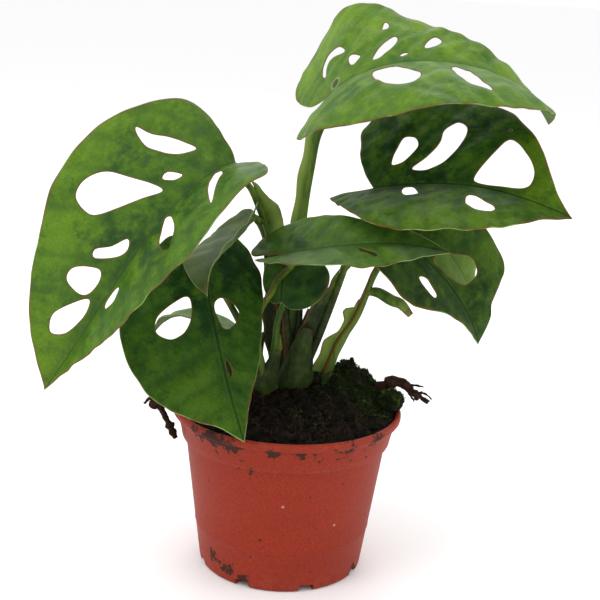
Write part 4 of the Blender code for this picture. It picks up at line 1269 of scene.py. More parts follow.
def turn_peat():
    """Turn the plug inside the pot's wall, close its top ring by ring and raise the clods."""
    floor_height = POT_FLOOR + PEAT_GAP
    inside = -WALL - PEAT_GAP
    wall = [(10.0, floor_height), (FOOT - WALL - 1.2, floor_height),
            (FOOT + inside, POT_FLOOR + 1.4), (NECK + inside - 0.2, 50.6),
            (COLLAR + inside - 0.4, 53.2), (PEAT_EDGE - 0.6, 59.5)]
    radii = [PEAT_EDGE * (1.0 - index / PEAT_RINGS) for index in range(PEAT_RINGS)]
    route = wall + [(max(radius, 0.4), PEAT_RIM) for radius in radii]
    item = turn_up("peat_heap", route, PEAT_SIDES)
    for corner in item.data.vertices:
        if corner.co.z > (PEAT_RIM - 1.0) * MM:
            corner.co.z = peat_height(corner.co.x / MM, corner.co.y / MM) * MM
    item.data.shade_smooth()
    return item


peat = turn_peat()
print("peat", triangle_count(peat), "triangles")

# %% Crumbs of peat
FULL_TURN = 2.0 * math.pi
ANY_WAY = (0.0, 6.28)
CRUMBS = 2600
CRUMB_SIZE = (0.35, 1.0)
CRUMB_REACH = 41.6
CRUMB_SINK = 0.25
CLOD_PIECES = 170
CLOD_SIZE = (1.1, 2.3)
CLOD_REACH = 39.8
CLOD_SINK = 0.05
KNOCKED = 0.22
PEAT_SEED = 11


def crumb_shape(level, seed):
    """A sphere of a few dozen faces, knocked out of round."""
    select_only()
    bpy.ops.mesh.primitive_ico_sphere_add(subdivisions=level, radius=1.0)
    item = bpy.context.object
    bpy.ops.object.mode_set(mode="EDIT")
    bpy.ops.mesh.select_all(action="SELECT")
    bpy.ops.transform.vertex_random(offset=KNOCKED, seed=seed)
    bpy.ops.object.mode_set(mode="OBJECT")
    corners = np.array([corner.co for corner in item.data.vertices])
    faces = np.array([face.vertices for face in item.data.polygons])
    bpy.data.objects.remove(item, do_unlink=True)
    return corners, faces


def random_spot(draw, reach):
    """A place drawn evenly from a disc."""
    angle, radius = draw.uniform(0.0, FULL_TURN), reach * math.sqrt(draw.random())
    return radius * math.cos(angle), radius * math.sin(angle)


def strew(draw, shapes, count, sizes, reach, sink):
    """Copy the shapes over the heap, each turned, sized and sunk a little at random."""
    points, faces, first = [], [], 0
    for _ in range(count):
        x, y = random_spot(draw, reach)
        size = sizes[0] + (sizes[1] - sizes[0]) * draw.random() ** 2
        corners, triangles = shapes[draw.randrange(len(shapes))]
        angle, axis = draw.uniform(*ANY_WAY), Vector((draw.random(), draw.random(), 1.0))
        turn = Matrix.Rotation(angle, 3, axis)
        flat = np.array((size, size * draw.uniform(0.6, 1.0), size * draw.uniform(0.45, 0.8)))
        place = np.array((x, y, peat_height(x, y) + size * sink))
        if math.hypot(x, y) + size > PEAT_EDGE:
            continue
        points.append((corners * flat) @ np.array(turn) + place)
        faces.append(triangles + first)
        first += len(corners)
    return np.concatenate(points), np.concatenate(faces)


draw = random.Random(PEAT_SEED)
small_crumbs = [crumb_shape(1, seed) for seed in range(3)]
large_crumbs = [crumb_shape(2, seed) for seed in range(3, 6)]
small = strew(draw, small_crumbs, CRUMBS, CRUMB_SIZE, CRUMB_REACH, CRUMB_SINK)
large = strew(draw, large_crumbs, CLOD_PIECES, CLOD_SIZE, CLOD_REACH, CLOD_SINK)
crumbs = join_all([object_from("peat_crumbs", *small), object_from("clods", *large)], "peat_crumbs")
print("crumbs", triangle_count(crumbs), "triangles")

# %% [markdown]
# ## Tubes along a route
#
# Roots, fibres, petioles and stems are all round sections swept along a curve. Blender's own curve
# object does that: each of its points has a radius, the bevel gives the section, and Convert turns
# it into a closed tube. The nodes and scars of a real root or petiole are small changes of radius.

# %% Tubes
TUBE_WELD = 0.01
TUBE_LEAST = 0.12


def tube(name, route, radii, sides):
    """A closed tube through points in millimetres, with a radius at each of them."""
    curve = bpy.data.curves.new(name, "CURVE")
    curve.dimensions = "3D"
    curve.bevel_depth = MM
    curve.bevel_resolution = max(0, sides // 2 - 2)
    curve.use_fill_caps = True
    spline = curve.splines.new("POLY")
    spline.points.add(len(route) - 1)
    for point, place, radius in zip(spline.points, route, radii):
        point.co = (*(Vector(place) * MM), 1.0)
        point.radius = radius
    item = bpy.data.objects.new(name, curve)
    bpy.context.scene.collection.objects.link(item)
    select_only(item)
    bpy.ops.object.convert(target="MESH")
    item = bpy.context.object
    face_outward(item, weld=TUBE_WELD * MM)
    item.data.shade_smooth()
    return item


def along_route(route, radii, step):
    """Read a smooth route and its radii about every step."""
    joined = [(*place, radius) for place, radius in zip(route, radii)]
    fine = smooth_curve(joined, step)
    return fine[:, :3], np.maximum(fine[:, 3], TUBE_LEAST)


# %% [markdown]
# ## Dry roots over the rim
#
# Two dry roots hang over the rim, one on each side, with a few thin branches. They carry crumbs of
# peat, so their radius is rough, and their finish is the peat's in a lighter brown.

# %% Roots
ROOT_STEP = 0.8
ROOT_SIDES = 12
ROOT_ROUGH = 0.56
ROOT_CRUST = 0.35
ROOT_SEED = 4
# Each root: places and radii.
ROOTS = [
    ([(34, 6, 69), (40, 5, 74), (45, 5, 74.5), (50, 4, 71), (56, 3, 67.5)],
     (2.6, 2.4, 1.8, 1.3, 0.8)),
    ([(44, 5, 74), (49, 7, 70.5), (52, 8, 67)], (1.2, 1.0, 0.8)),
    ([(47, 5, 73), (50, 4, 74), (53.5, 3, 74)], (0.7, 0.5, 0.3)),
    ([(50, 4, 71), (54, 2, 71.5), (57, 1, 69.5)], (0.7, 0.5, 0.3)),
    ([(46, 5, 74), (47.5, 1, 72), (50, -1, 69)], (0.7, 0.5, 0.3)),
    ([(-50, -10, 67), (-53, -11, 68), (-55, -12, 66)], (0.9, 0.7, 0.35)),
    ([(-33, -8, 62), (-40, -10, 67.5), (-46, -10, 68.5), (-50.5, -10, 67), (-52, -10, 64)],
     (2.2, 2.4, 2.8, 2.6, 1.5)),
    ([(-50, -10, 67), (-47.5, -9.5, 61), (-45, -9, 56), (-43, -9, 51.5)], (1.4, 1.2, 1.7, 1.0)),
]


def make_root(route, radii):
    """One root with a knobbly, crusted outline."""
    places, sizes = along_route(route, radii, ROOT_STEP)
    rough = [1.0 + ROOT_ROUGH * noise.noise(Vector(place) * 0.9) for place in places]
    item = tube("root", places, sizes * np.array(rough), ROOT_SIDES)
    for corner in item.data.vertices:
        corner.co += Vector(noise.noise_vector(corner.co / MM * 1.3)) * ROOT_CRUST * MM
    return item


# The crust is drawn at random, and the seed keeps it the same in every run.
noise.seed_set(ROOT_SEED)
roots = join_all([make_root(route, radii) for route, radii in ROOTS], "dry_roots")
print("roots", triangle_count(roots), "triangles")

# %% Fibres in the peat
FIBRES = 340
FIBRE_LENGTH = (2.0, 6.5)
FIBRE_RADIUS = 0.16
FIBRE_REACH = 38.0
FIBRE_LIMIT = 41.3
FIBRE_PIECES = 4
FIBRE_LIFT = 0.45


def fibre_points(draw):
    """Places of one curved fibre that lies on the heap."""
    x, y = random_spot(draw, FIBRE_REACH)
    heading, bend = draw.uniform(*ANY_WAY), draw.uniform(-0.5, 0.5)
    length = draw.uniform(*FIBRE_LENGTH)
    points = []
    for _ in range(FIBRE_PIECES + 1):
        lift = FIBRE_LIFT + draw.uniform(-0.3, 0.7)
        points.append((x, y, peat_height(x, y) + lift))
        x += math.cos(heading) * length / FIBRE_PIECES
        y += math.sin(heading) * length / FIBRE_PIECES
        heading += bend
        if math.hypot(x, y) > FIBRE_LIMIT:
            break
    return points


def strew_fibres(draw):
    """Triangular fibres as one mesh, closed at both ends."""
    points, faces = [], []
    for _ in range(FIBRES):
        route = fibre_points(draw)
        if len(route) < 3:
            continue
        first = len(points)
        radius = FIBRE_RADIUS * draw.uniform(0.6, 1.5)
        for x, y, z in route:
            for turn in (0.0, 2.1, 4.2):
                points.append((x + radius * math.cos(turn), y + radius * math.sin(turn) * 0.7,
                               z + radius * math.sin(turn)))
        for index in range(len(route) - 1):
            for side in range(3):
                a, b = first + 3 * index + side, first + 3 * index + (side + 1) % 3
                faces.append((a, b, b + 3, a + 3))
        last = first + 3 * (len(route) - 1)
        faces += [(first + 2, first + 1, first), (last, last + 1, last + 2)]
    return object_from("peat_fibres", points, faces)


fibres = strew_fibres(draw)
print("fibres", triangle_count(fibres), "triangles")

# %% [markdown]
# ## Moss
#
# Moss has started on the damp right side of the heap. A moss plant is a spray of pointed leaflets
# two millimetres across. Each leaflet here is a closed sliver of six faces, and a few hundred
# sprays are enough to tint the heap and roughen its edge.

# %% Moss
# Each patch: place, reach and number of sprays.
MOSS_PATCHES = (((33, -6), 8.0, 130), ((24, 9), 10.0, 190), ((36, 8), 7.0, 110), ((10, -24), 7.0, 26),
                ((-12, -26), 6.0, 18), ((2, 22), 9.0, 30), ((15, -4), 6.0, 36))
CUSHION_PLACE = Vector((40.6, -1.5, 68.8))
CUSHION_SIZE = Vector((5.0, 6.4, 4.0))
CUSHION_ROUGH = 0.9
CUSHION_SPRAYS = 170
LEAFLETS = 7
LEAFLET_LENGTH = (0.9, 1.9)
LEAFLET_HALF = 0.17
# The six faces of a leaflet whose corners are root, right, tip, left and back.
LEAFLET_FACES = ((0, 1, 4), (1, 2, 4), (2, 3, 4), (3, 0, 4), (0, 3, 2), (0, 2, 1))
MOSS_LIMIT = 40.5
MOSS_LIFT = 0.1


def make_cushion():
    """A lump of mossy peat that leans on the rim at the right."""
    select_only()
    bpy.ops.mesh.primitive_ico_sphere_add(subdivisions=5, radius=1.0)
    item = bpy.context.object
    for corner in item.data.vertices:
        ball = corner.co.copy()
        place = CUSHION_PLACE + ball * CUSHION_SIZE
        rough = noise.noise(place * 0.35) * 1.2 + noise.noise(place * 1.1) * 0.6
        corner.co = (place + ball * rough * CUSHION_ROUGH) * MM
    item.data.shade_smooth()
    item.name = "cushion"
    return item


def moss_spray(draw, root):
    """Leaflets that spread from one point of the heap."""
    points, faces = [], []
    for index in range(LEAFLETS):
        angle = FULL_TURN * (index + draw.random()) / LEAFLETS
        lean = draw.uniform(0.3, 1.2)
        ahead = Vector((math.cos(angle) * lean, math.sin(angle) * lean, 1.0)).normalized()
        side = ahead.cross(Vector((0.0, 0.0, 1.0))).normalized() * LEAFLET_HALF
        back = side.cross(ahead) * 0.6
        tip = root + ahead * draw.uniform(*LEAFLET_LENGTH)
        middle = root.lerp(tip, 0.45)
        first = len(points)
        points += [root, middle + side, tip, middle - side, middle + back]
        faces += [tuple(first + corner for corner in face) for face in LEAFLET_FACES]
    return points, faces


def moss_roots(draw):
    """Where the sprays stand: in patches on the heap, and all over the cushion."""
    for (x, y), reach, count in MOSS_PATCHES:
        for _ in range(count):
            angle, radius = draw.uniform(*ANY_WAY), reach * math.sqrt(draw.random())
            spot = (x + radius * math.cos(angle), y + radius * math.sin(angle))
            if math.hypot(*spot) < MOSS_LIMIT:
                yield Vector((*spot, peat_height(*spot) + MOSS_LIFT))
    for _ in range(CUSHION_SPRAYS):
        height, angle = draw.uniform(-0.1, 1.0), draw.uniform(*ANY_WAY)
        level = math.sqrt(1.0 - height ** 2)
        ball = Vector((level * math.cos(angle), level * math.sin(angle), height))
        yield CUSHION_PLACE + ball * CUSHION_SIZE


def grow_moss(draw):
    """All the sprays as one mesh."""
    points, faces = [], []
    for root in moss_roots(draw):
        spray, leaflets = moss_spray(draw, root)
        faces += [tuple(len(points) + corner for corner in face) for face in leaflets]
        points += spray
    item = object_from("moss", points, faces)
    face_outward(item)
    return item


peat = join_all([peat, make_cushion()], "peat_heap")
moss = grow_moss(draw)
print("moss", triangle_count(moss), "triangles")

# %% [markdown]
# ## Peat, fibre and moss finishes
#
# Wet peat is nearly black with a brown cast and a few paler grains, and it hardly shines. The
# colour changes from crumb to crumb, so a noise at crumb size mixes three browns, and a green film
# of algae lies where the moss grows. Dry fibres and roots are a lighter brown.

# %% Peat finishes
PEAT_DARK = (0.0035, 0.0028, 0.0018)
PEAT_BROWN = (0.016, 0.009, 0.005)
PEAT_GRAIN = (0.060, 0.038, 0.022)
ALGAE = (0.010, 0.020, 0.004)
ROOT_BROWN = (0.055, 0.022, 0.014)
MOSS_DARK = (0.007, 0.016, 0.003)
MOSS_GREEN = (0.030, 0.060, 0.007)
MOSS_TIP = (0.110, 0.125, 0.014)
DAMP_PLACE = (30.0, 2.0, 72.0)
DAMP_REACH = 28.0


def peat_material(name, dark, brown, film):
    """Dark grainy stuff with a green film over the damp side."""
    material, shader, field = new_material(name)
    place = object_place(field)
    crumb = cloud(place, 420.0, 4.0, 0.65)
    broad = cloud(place, 60.0, 3.0)
    grit = cloud(place, 1400.0, 2.0, 0.7)
    damp = near_place(place, DAMP_PLACE, DAMP_REACH) * rise(broad, 0.30, 0.52) * film
    colour = paint_over(dark, (brown, rise(crumb, 0.42, 0.68)),
                        (PEAT_GRAIN, rise(grit, 0.62, 0.74) * 0.5), (ALGAE, damp))
    plug(shader, {"Base Color": colour, "Roughness": 0.82 + crumb * 0.16,
                  "Specular IOR Level": 0.12, "Normal": bump(crumb + grit * 0.5, 0.5 * MM, 0.7)})
    return material


def moss_material():
    """Moss that goes from dark green to yellow green, tuft by tuft."""
    material, shader, field = new_material("moss_green")
    tuft = cloud(object_place(field), 240.0, 3.0)
    colour = paint_over(MOSS_DARK, (MOSS_GREEN, rise(tuft, 0.35, 0.62)),
                        (MOSS_TIP, rise(tuft, 0.52, 0.68)))
    plug(shader, {"Base Color": colour, "Roughness": 0.7, "Specular IOR Level": 0.15})
    return material


peat_finish = peat_material("wet_peat", PEAT_DARK, PEAT_BROWN, 0.8)
root_finish = peat_material("dry_root", PEAT_BROWN, ROOT_BROWN, 0.0)
finishes = {peat: peat_finish, crumbs: peat_finish, roots: root_finish, fibres: root_finish}
for piece, finish in finishes.items():
    hand_over(piece, "soil", ["soil"], finish)
hand_over(moss, "soil", ["soil"], moss_material())

# %% [markdown]
# ## Petioles and stems
#
# A petiole is a slim stalk. Its foot clasps the stem, it thins upwards, and just below the blade
# it swells into a short joint that turns the leaf to the light. Above that joint it runs on as the
# midrib under the blade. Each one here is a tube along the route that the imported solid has,
# carried on under the blade as it thins away.

# %% Routes
SHOOTS = {
    "shoot_left": dict(
        place=(-9, -1),
        petioles={
            "leaf_front_low": dict(
                route=[(-10, -1, 74), (-16.5, -4.5, 92), (-24.5, -6, 107), (-31.5, -6.5, 117)],
                sheath=((0.3, 1.0, 0.0), [(0.0, 3.5), (0.35, 3.0), (0.62, 0.0)]),
            ),
            "leaf_front_middle": dict(
                route=[(-9, -2, 74), (-12.5, -2.5, 87), (-13.5, -1.5, 97), (-12, -1, 104),
                       (-8.3, -2.5, 110.5), (-6, -8, 117)],
                sheath=((-0.6, 0.8, 0.0), [(0.0, 3.0), (0.15, 2.0), (0.28, 0.0)]),
            ),
            "leaf_middle_small": dict(
                route=[(-8, 0, 74), (-6, 1, 88), (-5.5, 1.5, 98)],
                sheath=((1.0, 0.3, 0.0), [(0.0, 2.6), (0.25, 1.8), (0.45, 0.0)]),
            ),
            "leaf_left_back": dict(
                route=[(-10, 0, 74), (-14, 3, 82), (-20, 5, 87)],
                sheath=((0.0, 1.0, 0.0), [(0.0, 2.6), (0.5, 1.6), (0.8, 0.0)]),
            ),
        },
        scales=[],
    ),
    "shoot_middle": dict(
        place=(2, 5),
        petioles={
            "leaf_left_large": dict(
                route=[(0, 5, 74), (-2, 6, 95), (-6.5, 8, 118), (-10.5, 6, 131), (-14.5, -2, 143),
                       (-18.5, -11, 153)],
                sheath=((1.0, 0.2, 0.0), [(0.0, 3.6), (0.45, 4.0), (0.6, 6.4), (0.68, 5.6),
                                          (0.76, 3.4), (0.82, 0.6)]),
            ),
            "leaf_left_small": dict(
                route=[(0, 8, 74), (-4, 11, 95), (-8.5, 13, 116), (-12.5, 11, 130), (-15.5, 3, 138)],
                sheath=((-1.0, 0.2, 0.0), [(0.0, 6.0), (0.3, 6.5), (0.45, 3.0), (0.6, 0.0)]),
            ),
            "leaf_top": dict(
                route=[(2, 6, 74), (2.5, 9, 96), (2, 10, 118), (2.5, 9, 138), (4.5, 6, 158), (7, 2, 173)],
                sheath=((-1.0, 0.0, 0.0), [(0.0, 4.0), (0.5, 3.6), (0.8, 3.2), (0.9, 2.8), (0.93, 0.4)]),
            ),
            "leaf_right": dict(
                route=[(4, 5, 74), (9.5, 5.5, 88), (15, 5, 105), (20, 4, 122), (25, 2, 139)],
                sheath=((-0.8, 0.0, 0.5), [(0.0, 6.5), (0.26, 7.6), (0.33, 6.6), (0.4, 5.0), (0.48, 1.8),
                                           (0.52, 0.4)]),
            ),
        },
        scales=[],
    ),
    "shoot_right": dict(
        place=(15, 7),
        petioles={
            "leaf_right_low": dict(
                route=[(15, 6, 76), (19, 6, 89), (25, 5.5, 100), (28.5, 5, 110), (31.5, 4, 120)],
                sheath=((-0.9, 0.0, 0.4), [(0.0, 5.5), (0.2, 5.0), (0.27, 2.4), (0.35, 1.8), (0.41, 5.6),
                                           (0.44, 5.0), (0.47, 0.4)]),
            ),
            "leaf_right_back": dict(
                route=[(15, 8, 78.5), (21, 10.5, 91), (27.5, 12, 105), (32, 13, 117), (39, 15, 127)],
                sheath=((0.3, 1.0, 0.0), [(0.0, 3.0), (0.3, 2.4), (0.5, 0.0)]),
            ),
        },
        scales=[[(28.5, 5, 111), (33, 4.5, 111), (38.5, 3, 108.5), (42, 2, 107.5), (46, 1, 103.5)]],
    ),
}

# %% Petiole sizes
PETIOLE_TOP = 1.25
# Radius of a petiole at shares of its length.
PETIOLE_TAPER = ((0.0, 2.1), (0.12, 1.85), (0.6, PETIOLE_TOP), (1.0, 1.15))
JOINT_SWELL = 0.38
JOINT_REACH = 5.5
SEAT = 1.5
SEAT_DROP = 1.55
SEAT_NECK = 3.0
# The run under the blade: steps past the seat and radii, at a depth under the sheet.
UNDER_DROP = 0.55
UNDER_RUN = ((4.0, 0.62), (9.0, 0.42), (16.0, 0.28))
ROUTE_STEP = 1.3
TUBE_SIDES = 16
STEM_RADIUS = 3.1
STEM_BOTTOM = 60.3
STEM_TOP = 80.0


def petiole_course(petiole, leaf):
    """Places and radii of a petiole, from its foot on the stem to under the blade."""
    form = LeafForm(leaf)
    seat = form.place([SEAT], [0.0], [-SEAT_DROP])[0]
    neck = form.place([SEAT], [0.0], [-SEAT_DROP - SEAT_NECK])[0]
    points = [np.array(point, float) for point in petiole["route"]] + [neck, seat]
    places = smooth_curve(points, ROUTE_STEP)
    steps = np.linalg.norm(np.diff(places, axis=0), axis=1)
    run = np.concatenate([[0.0], np.cumsum(steps)])
    share = run / run[-1]
    radii = np.interp(share, *zip(*PETIOLE_TAPER))
    radii += JOINT_SWELL * bell(run - run[-1] + JOINT_REACH / 2, JOINT_REACH / 2)
    along = [SEAT + step for step, _ in UNDER_RUN]
    ends = form.place(along, [0.0] * len(along), [-UNDER_DROP] * len(along))
    places = np.concatenate([places, ends])
    radii = np.concatenate([radii, [radius for _, radius in UNDER_RUN]])
    return places, radii, share


def travelling_sides(places, direction):
    """Sideways vectors along a route, as near to one direction as the route allows."""
    ahead = unit(np.gradient(places, axis=0))
    side = np.array(direction, float)
    side = side - ahead * column(ahead @ side)
    return ahead, unit(side)


# %% Make a petiole
# How old and brown each petiole and its sheath are, at the foot and at the blade: 0 and less is
# fresh, 1 and more is dried. Three petioles show no red on the side to the light.
AGES = {
    "leaf_front_low": (0.9, 0.1), "leaf_front_middle": (0.3, 0.0), "leaf_middle_small": (0.1, 0.0),
    "leaf_left_back": (0.9, 0.2), "leaf_left_large": (1.5, -0.9), "leaf_left_small": (1.2, 0.3),
    "leaf_top": (1.3, -0.5), "leaf_right": (1.15, -0.25), "leaf_right_low": (0.25, 0.0),
    "leaf_right_back": (0.9, 0.1),
}
NOT_RED = ("leaf_top", "leaf_right", "leaf_middle_small")
LIGHT_SIDE = np.array((-0.9, -0.35, 0.2))


def mark(item, run, wing, lit, age):
    """Keep what the petiole finish reads, each as one number or as one for each vertex."""
    count = len(item.data.vertices)
    for name, values in (("run", run), ("wing", wing), ("lit", lit), ("age", age)):
        set_numbers(item, name, np.broadcast_to(values, count))


def age_along(leaf_name, share):
    """Age at shares of a petiole."""
    foot, top = AGES[leaf_name]
    return np.clip(foot + (top - foot) * np.asarray(share), 0.0, 1.0)


def shares_along(item, places):
    """For each vertex of a tube: the way out from its route, and the share of the route there."""
    corners = np.array([corner.co for corner in item.data.vertices]) / MM
    nearest = [int(np.argmin(((places - corner) ** 2).sum(axis=1))) for corner in corners]
    return corners - places[nearest], np.array(nearest) / (len(places) - 1)


def make_petiole(places, radii, leaf_name):
    """A tube, with its run from 0 at the stem to 1 at the blade kept for the finish."""
    item = tube("petiole", places, radii, TUBE_SIDES)
    outward, share = shares_along(item, places)
    reddened = 0.0 if leaf_name in NOT_RED else 1.0
    lit = unit(outward + 1e-9) @ LIGHT_SIDE * reddened
    mark(item, share, 0.0, lit, age_along(leaf_name, share))
    return item


# %% [markdown]
# ## Sheaths
#
# The lower half of each petiole carries a sheath, a thin wing that once wrapped the next leaf. It
# narrows upwards and ends in a free pointed tip, and its edge dries brown. A grid is the natural
# start: one way runs along the petiole, the other way from its middle out to the edge, where it
# curls over. Solidify then gives it its thickness.

# %% Sheath shapes
SHEATH_ACROSS = 7
SHEATH_ALONG = 46
SHEATH_SKIN = 0.42
SHEATH_CURL = math.radians(22)
SHEATH_WAVE = 0.4
SHEATH_WAVES = 40.0
# How far the free tip runs past the last stop, where it starts and where it must end, as shares.
TIP_REACH = 0.05
TIP_START = 0.03
TIP_LAST = 0.97
# Least width past the petiole's middle, at the tip and, on top of that, below it.
TIP_LEAST = 0.5
FOOT_LEAST = 1.6
TIP_WIDTH = 0.12


def sheath_rows(places, share, stops):
    """Rows up a sheath: their shares, middles, and how far from there each starts and ends."""
    top = stops[-1][0]
    end = min(top + TIP_REACH, TIP_LAST)
    rows = np.linspace(0.0, end, SHEATH_ALONG)
    petiole = places[:len(share)]
    centre = np.stack([np.interp(rows, share, petiole[:, axis]) for axis in range(3)], axis=1)
    free = np.clip((rows - top + TIP_START) / (end - top + TIP_START), 0.0, 1.0)
    width = np.interp(rows, *zip(*stops)) + PETIOLE_TOP
    width = np.maximum(width, PETIOLE_TOP + FOOT_LEAST * (1.0 - free) + TIP_LEAST)
    width = width + SHEATH_WAVE * np.sin(rows * SHEATH_WAVES)
    return rows, centre, free * (width - TIP_WIDTH), width


def make_sheath(places, share, sheath, curl_sign, leaf_name):
    """A curled wing along the petiole with a free tip."""
    direction, stops = sheath
    rows, centre, inner, width = sheath_rows(places, share, stops)
    ahead, side = travelling_sides(centre, direction)
    face = np.cross(ahead, side) * curl_sign
    select_only()
    bpy.ops.mesh.primitive_grid_add(x_subdivisions=SHEATH_ALONG - 1, y_subdivisions=SHEATH_ACROSS - 1)
    item = bpy.context.object
    corners = np.array([corner.co for corner in item.data.vertices])
    row = np.rint((corners[:, 0] + 1.0) / 2.0 * (SHEATH_ALONG - 1)).astype(int)
    out = (corners[:, 1] + 1.0) / 2.0
    reach = inner[row] + (width[row] - inner[row]) * out
    bend = SHEATH_CURL * (reach / np.maximum(width[row], 0.1)) ** 1.5
    flat = side[row] * column(reach * np.cos(bend)) + face[row] * column(reach * np.sin(bend))
    item.data.vertices.foreach_set("co", ((centre[row] + flat) * MM).ravel())
    mark(item, rows[row], out, 0.0, age_along(leaf_name, rows[row]))
    apply_modifier(item, "SOLIDIFY", thickness=SHEATH_SKIN * MM, offset=0.0)
    face_outward(item)
    item.data.shade_smooth()
    return item


# %% [markdown]
# ## Stems
#
# The stem that the petioles clasp hardly shows: a short knuckled stump with ring scars, sunk in
# the peat, with papery remains of old sheaths round it. It starts as a cylinder whose rings are
# swelled at the scars.

# %% Stem
STEM_SIDES = 20
STEM_LOOPS = 16
SCAR_SWELL = 0.10
SCAR_PITCH = 1.35
STEM_ROUGH = 0.06
# The stem closes in above this height, by this share at its top.
STEM_SHOULDER = 74.0
STEM_CLOSING = 0.55
STEM_SHARP = math.radians(50)


def ring_stem(item, x, y):
    """Swell the rings of a stem at its scars and close it in at the top."""
    for corner in item.data.vertices:
        height = corner.co.z / MM
        rough = noise.noise(corner.co / MM * 0.6)
        swell = 1.0 + SCAR_SWELL * math.sin(height * SCAR_PITCH) + STEM_ROUGH * rough
        above = max(0.0, (height - STEM_SHOULDER) / (STEM_TOP - STEM_SHOULDER))
        closing = 1.0 - STEM_CLOSING * above ** 2
        corner.co.x = x * MM + (corner.co.x - x * MM) * swell * closing
        corner.co.y = y * MM + (corner.co.y - y * MM) * swell * closing


def make_stem(x, y):
    """A short stump with swollen scars."""
    select_only()
    middle = (STEM_BOTTOM + STEM_TOP) / 2
    bpy.ops.mesh.primitive_cylinder_add(
        vertices=STEM_SIDES, radius=STEM_RADIUS * MM, depth=(STEM_TOP - STEM_BOTTOM) * MM,
        location=(x * MM, y * MM, middle * MM))
    item = bpy.context.object
    bpy.ops.object.transform_apply(location=True)
    bpy.ops.object.mode_set(mode="EDIT")
    for loop in range(1, STEM_LOOPS):
        height = STEM_BOTTOM + (STEM_TOP - STEM_BOTTOM) * loop / STEM_LOOPS
        bpy.ops.mesh.select_all(action="SELECT")
        bpy.ops.mesh.bisect(plane_co=(0.0, 0.0, height * MM), plane_no=(0.0, 0.0, 1.0))
    bpy.ops.object.mode_set(mode="OBJECT")
    ring_stem(item, x, y)
    mark(item, 0.0, 0.3, 0.0, 1.0)
    bpy.ops.object.shade_smooth_by_angle(angle=STEM_SHARP)
    return item


# %% Old sheaths and petioles
# Old sheaths round each stem: place, top, half width and the way that each one faces.
STUBS = {
    "shoot_left": [((-14.5, -3.0), 78.5, 4.0, (-0.8, -1.0)), ((-8.6, -4.6), 88.0, 5.6, (0.1, -1.0)),
                   ((-15.5, 3.0), 93.0, 4.8, (-0.2, -1.0))],
    "shoot_middle": [((2.6, -0.2), 96.0, 8.6, (0.05, -1.0)), ((-3.5, 6.5), 106.0, 5.8, (-0.3, -1.0)),
                     ((3.5, 9.0), 102.0, 5.4, (0.1, -1.0))],
    "shoot_right": [((12.6, 3.4), 77.5, 4.6, (-0.2, -1.0))],
}
STUB_FOOT = 66.0
STUB_AGE = 0.62
STUB_SKIN = 0.35
STUB_TAPER = 0.78
STUB_TIP = 0.15
STUB_CUP = 0.55
STUB_RAGGED = 1.4
STUB_LEAN = 4.0
STUB_BULGE = 0.8
STUB_DENT = 0.7
# Dark dried petioles put behind the two front leaves as painted shade that darkens their slits.
SLIT_SHADE_PETIOLES = {
    "shoot_left": [[(-12, 0, 66), (-17, 1, 71), (-22.5, 1.5, 75), (-25.5, 1.5, 79), (-27, 1.5, 84)]],
    "shoot_middle": [[(18.6, 5.5, 118.5), (21, 6, 122.5), (26, 7, 126.4), (30.5, 8, 126.8),
                      (33.5, 8, 126.5)]],
}
SCALE_SIZES = (1.4, 2.1, 2.3, 2.1, 1.3)
SCALE_SIDES = 12
# From this share on a scale turns pale, then brown.
SCALE_TURN = 0.6


def stub_place(across, up, spot, top, half_width, facing):
    """A place of an old sheath, from -1 to 1 across it and from 0 to 1 up it."""
    ahead = Vector((*facing, 0.0)).normalized()
    side = Vector((-ahead.y, ahead.x, 0.0))
    ragged = noise.noise(Vector((across * 0.9, top, spot[0])))
    width = half_width * (1.0 - STUB_TAPER * up ** 1.2) + STUB_TIP
    cup = -half_width * STUB_CUP * across ** 2 * (1.0 - 0.3 * up)
    dent = noise.noise(Vector((across * 2.0, up * 3.0, top)))
    lean = STUB_BULGE * up ** 2 + STUB_DENT * dent
    height = STUB_FOOT + (top + ragged * STUB_RAGGED - STUB_FOOT) * up
    place = Vector((spot[0] + STUB_LEAN * up ** 2, spot[1], height)) + side * (across * width)
    return place + ahead * (cup + lean)


def make_stub(stub):
    """A dried sheath that still stands round the stem: a tapered, cupped scrap."""
    select_only()
    bpy.ops.mesh.primitive_grid_add(x_subdivisions=10, y_subdivisions=14)
    item = bpy.context.object
    ups = [(corner.co.y + 1.0) / 2.0 for corner in item.data.vertices]
    for corner, up in zip(item.data.vertices, ups):
        corner.co = stub_place(corner.co.x, up, *stub) * MM
    mark(item, 0.05, 0.99 * np.array(ups) ** 5, 0.0, STUB_AGE)
    apply_modifier(item, "SOLIDIFY", thickness=STUB_SKIN * MM, offset=0.0)
    item.data.shade_smooth()
    return item


def make_scale(route, age):
    """A soft scale, or a dark dried petiole put behind a slit as painted shade, browned at its free end.
    """
    places, radii = along_route(route, SCALE_SIZES, ROUTE_STEP)
    item = tube("scale", places, radii, SCALE_SIDES)
    _, share = shares_along(item, places)
    wing = 1.3 * np.clip((share - SCALE_TURN) / (1.0 - SCALE_TURN), 0.0, 1.0)
    mark(item, 0.7, wing, 0.0, age)
    return item


# %% Build the three shoots
CURLED_AWAY = ("leaf_top",)


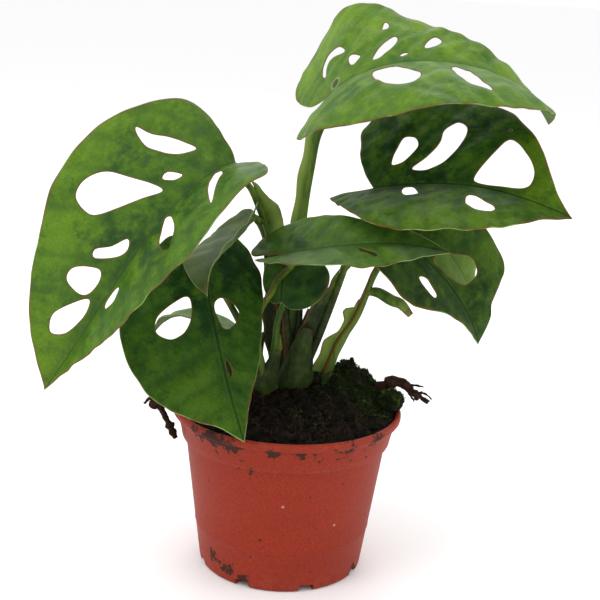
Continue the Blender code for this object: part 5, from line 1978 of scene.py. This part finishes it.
def make_shoot(name, shoot):
    """A stem with its petioles, sheaths, old scraps and the dark petioles that shade the slits, as one
    piece.
    """
    x, y = shoot["place"]
    parts = [make_stem(x, y)]
    for leaf_name, petiole in shoot["petioles"].items():
        places, radii, share = petiole_course(petiole, LEAVES[leaf_name])
        sign = -1.0 if leaf_name in CURLED_AWAY else 1.0
        parts.append(make_petiole(places, radii, leaf_name))
        parts.append(make_sheath(places, share, petiole["sheath"], sign, leaf_name))
    parts += [make_scale(route, 0.0) for route in shoot["scales"]]
    # Dark petioles behind the front leaves' slits: painted shade.
    parts += [make_scale(route, 1.0) for route in SLIT_SHADE_PETIOLES.get(name, [])]
    parts += [make_stub(stub) for stub in STUBS[name]]
    return join_all(parts, name + "_petioles")


# %% [markdown]
# ## Petiole finish
#
# Petioles are light green with a satin gloss. The side to the light reddens in patches, an old
# petiole turns dark olive from its foot upwards, and fine pale warts are sprinkled over the fresh
# ones. Near the stem, where the petioles crowd, they are darkened with painted shade. Sheaths are
# thinner and paler, with a brown papery edge.

# %% Petiole finish
PETIOLE_GREEN = (0.046, 0.100, 0.010)
PETIOLE_LIGHT = (0.120, 0.190, 0.022)
PETIOLE_SHADE = (0.016, 0.036, 0.007)
PETIOLE_RED = (0.150, 0.040, 0.012)
SHEATH_PALE = (0.23, 0.32, 0.060)
SHEATH_BROWN = (0.17, 0.075, 0.035)
OLD_OLIVE = (0.026, 0.040, 0.010)
OLD_DARK = (0.009, 0.011, 0.005)


def petiole_material():
    """Green stalks that redden to the light, and sheaths that pale and then dry brown."""
    material, shader, field = new_material("petiole_green")
    place = object_place(field)
    run, wing, lit, age = (read(field, name) for name in ("run", "wing", "lit", "age"))
    stretched = place.node("Mapping", None, {"Vector": place, "Scale": (1.0, 1.0, 0.16)})
    streaks = cloud(stretched, 900.0, 3.0)
    patches = cloud(stretched, 170.0, 3.0)
    stains = cloud(place, 260.0, 4.0, 0.6)
    warts = cloud(place, 2200.0, 1.0)
    fresh = 1.0 - age
    aged = paint_over(OLD_OLIVE, (OLD_DARK, rise(stains + streaks * 0.3, 0.52, 0.76)),
                      (SHEATH_BROWN, rise(stains, 0.58, 0.78) * 0.45))
    edge = rise(wing + streaks * 0.25, 0.96, 1.12) * rise(stains, 0.36, 0.58)
    colour = paint_over(
        PETIOLE_GREEN,
        (PETIOLE_LIGHT, rise(patches, 0.38, 0.62)),
        (PETIOLE_SHADE, rise(streaks, 0.50, 0.72) * 0.55),
        (SHEATH_PALE, rise(wing, 0.15, 0.7) * fresh * 0.65),
        (aged, rise(age + stains * 0.4, 0.45, 0.95) * 0.92),
        # Painted shade near the stem, where the petioles crowd.
        (PETIOLE_SHADE, fall(run, 0.0, 0.16) * 0.5),
        (PETIOLE_RED, rise(lit, 0.45, 0.85) * rise(patches, 0.30, 0.50) * 0.75),
        (SHEATH_BROWN, edge * 0.75),
        (PETIOLE_LIGHT, rise(warts, 0.66, 0.76) * 0.25 * fresh))
    height = streaks + warts * 0.3 + stains * 0.5
    plug(shader, {"Base Color": colour, "Roughness": 0.42 + patches * 0.2,
                  "Specular IOR Level": 0.16, "Normal": bump(height, 0.12 * MM, 0.6)})
    let_light_in(shader, 0.10, 0.8)
    return material


petiole_finish = petiole_material()
for shoot_name, shoot in SHOOTS.items():
    hand_over(make_shoot(shoot_name, shoot), "petiole", [shoot_name], petiole_finish)
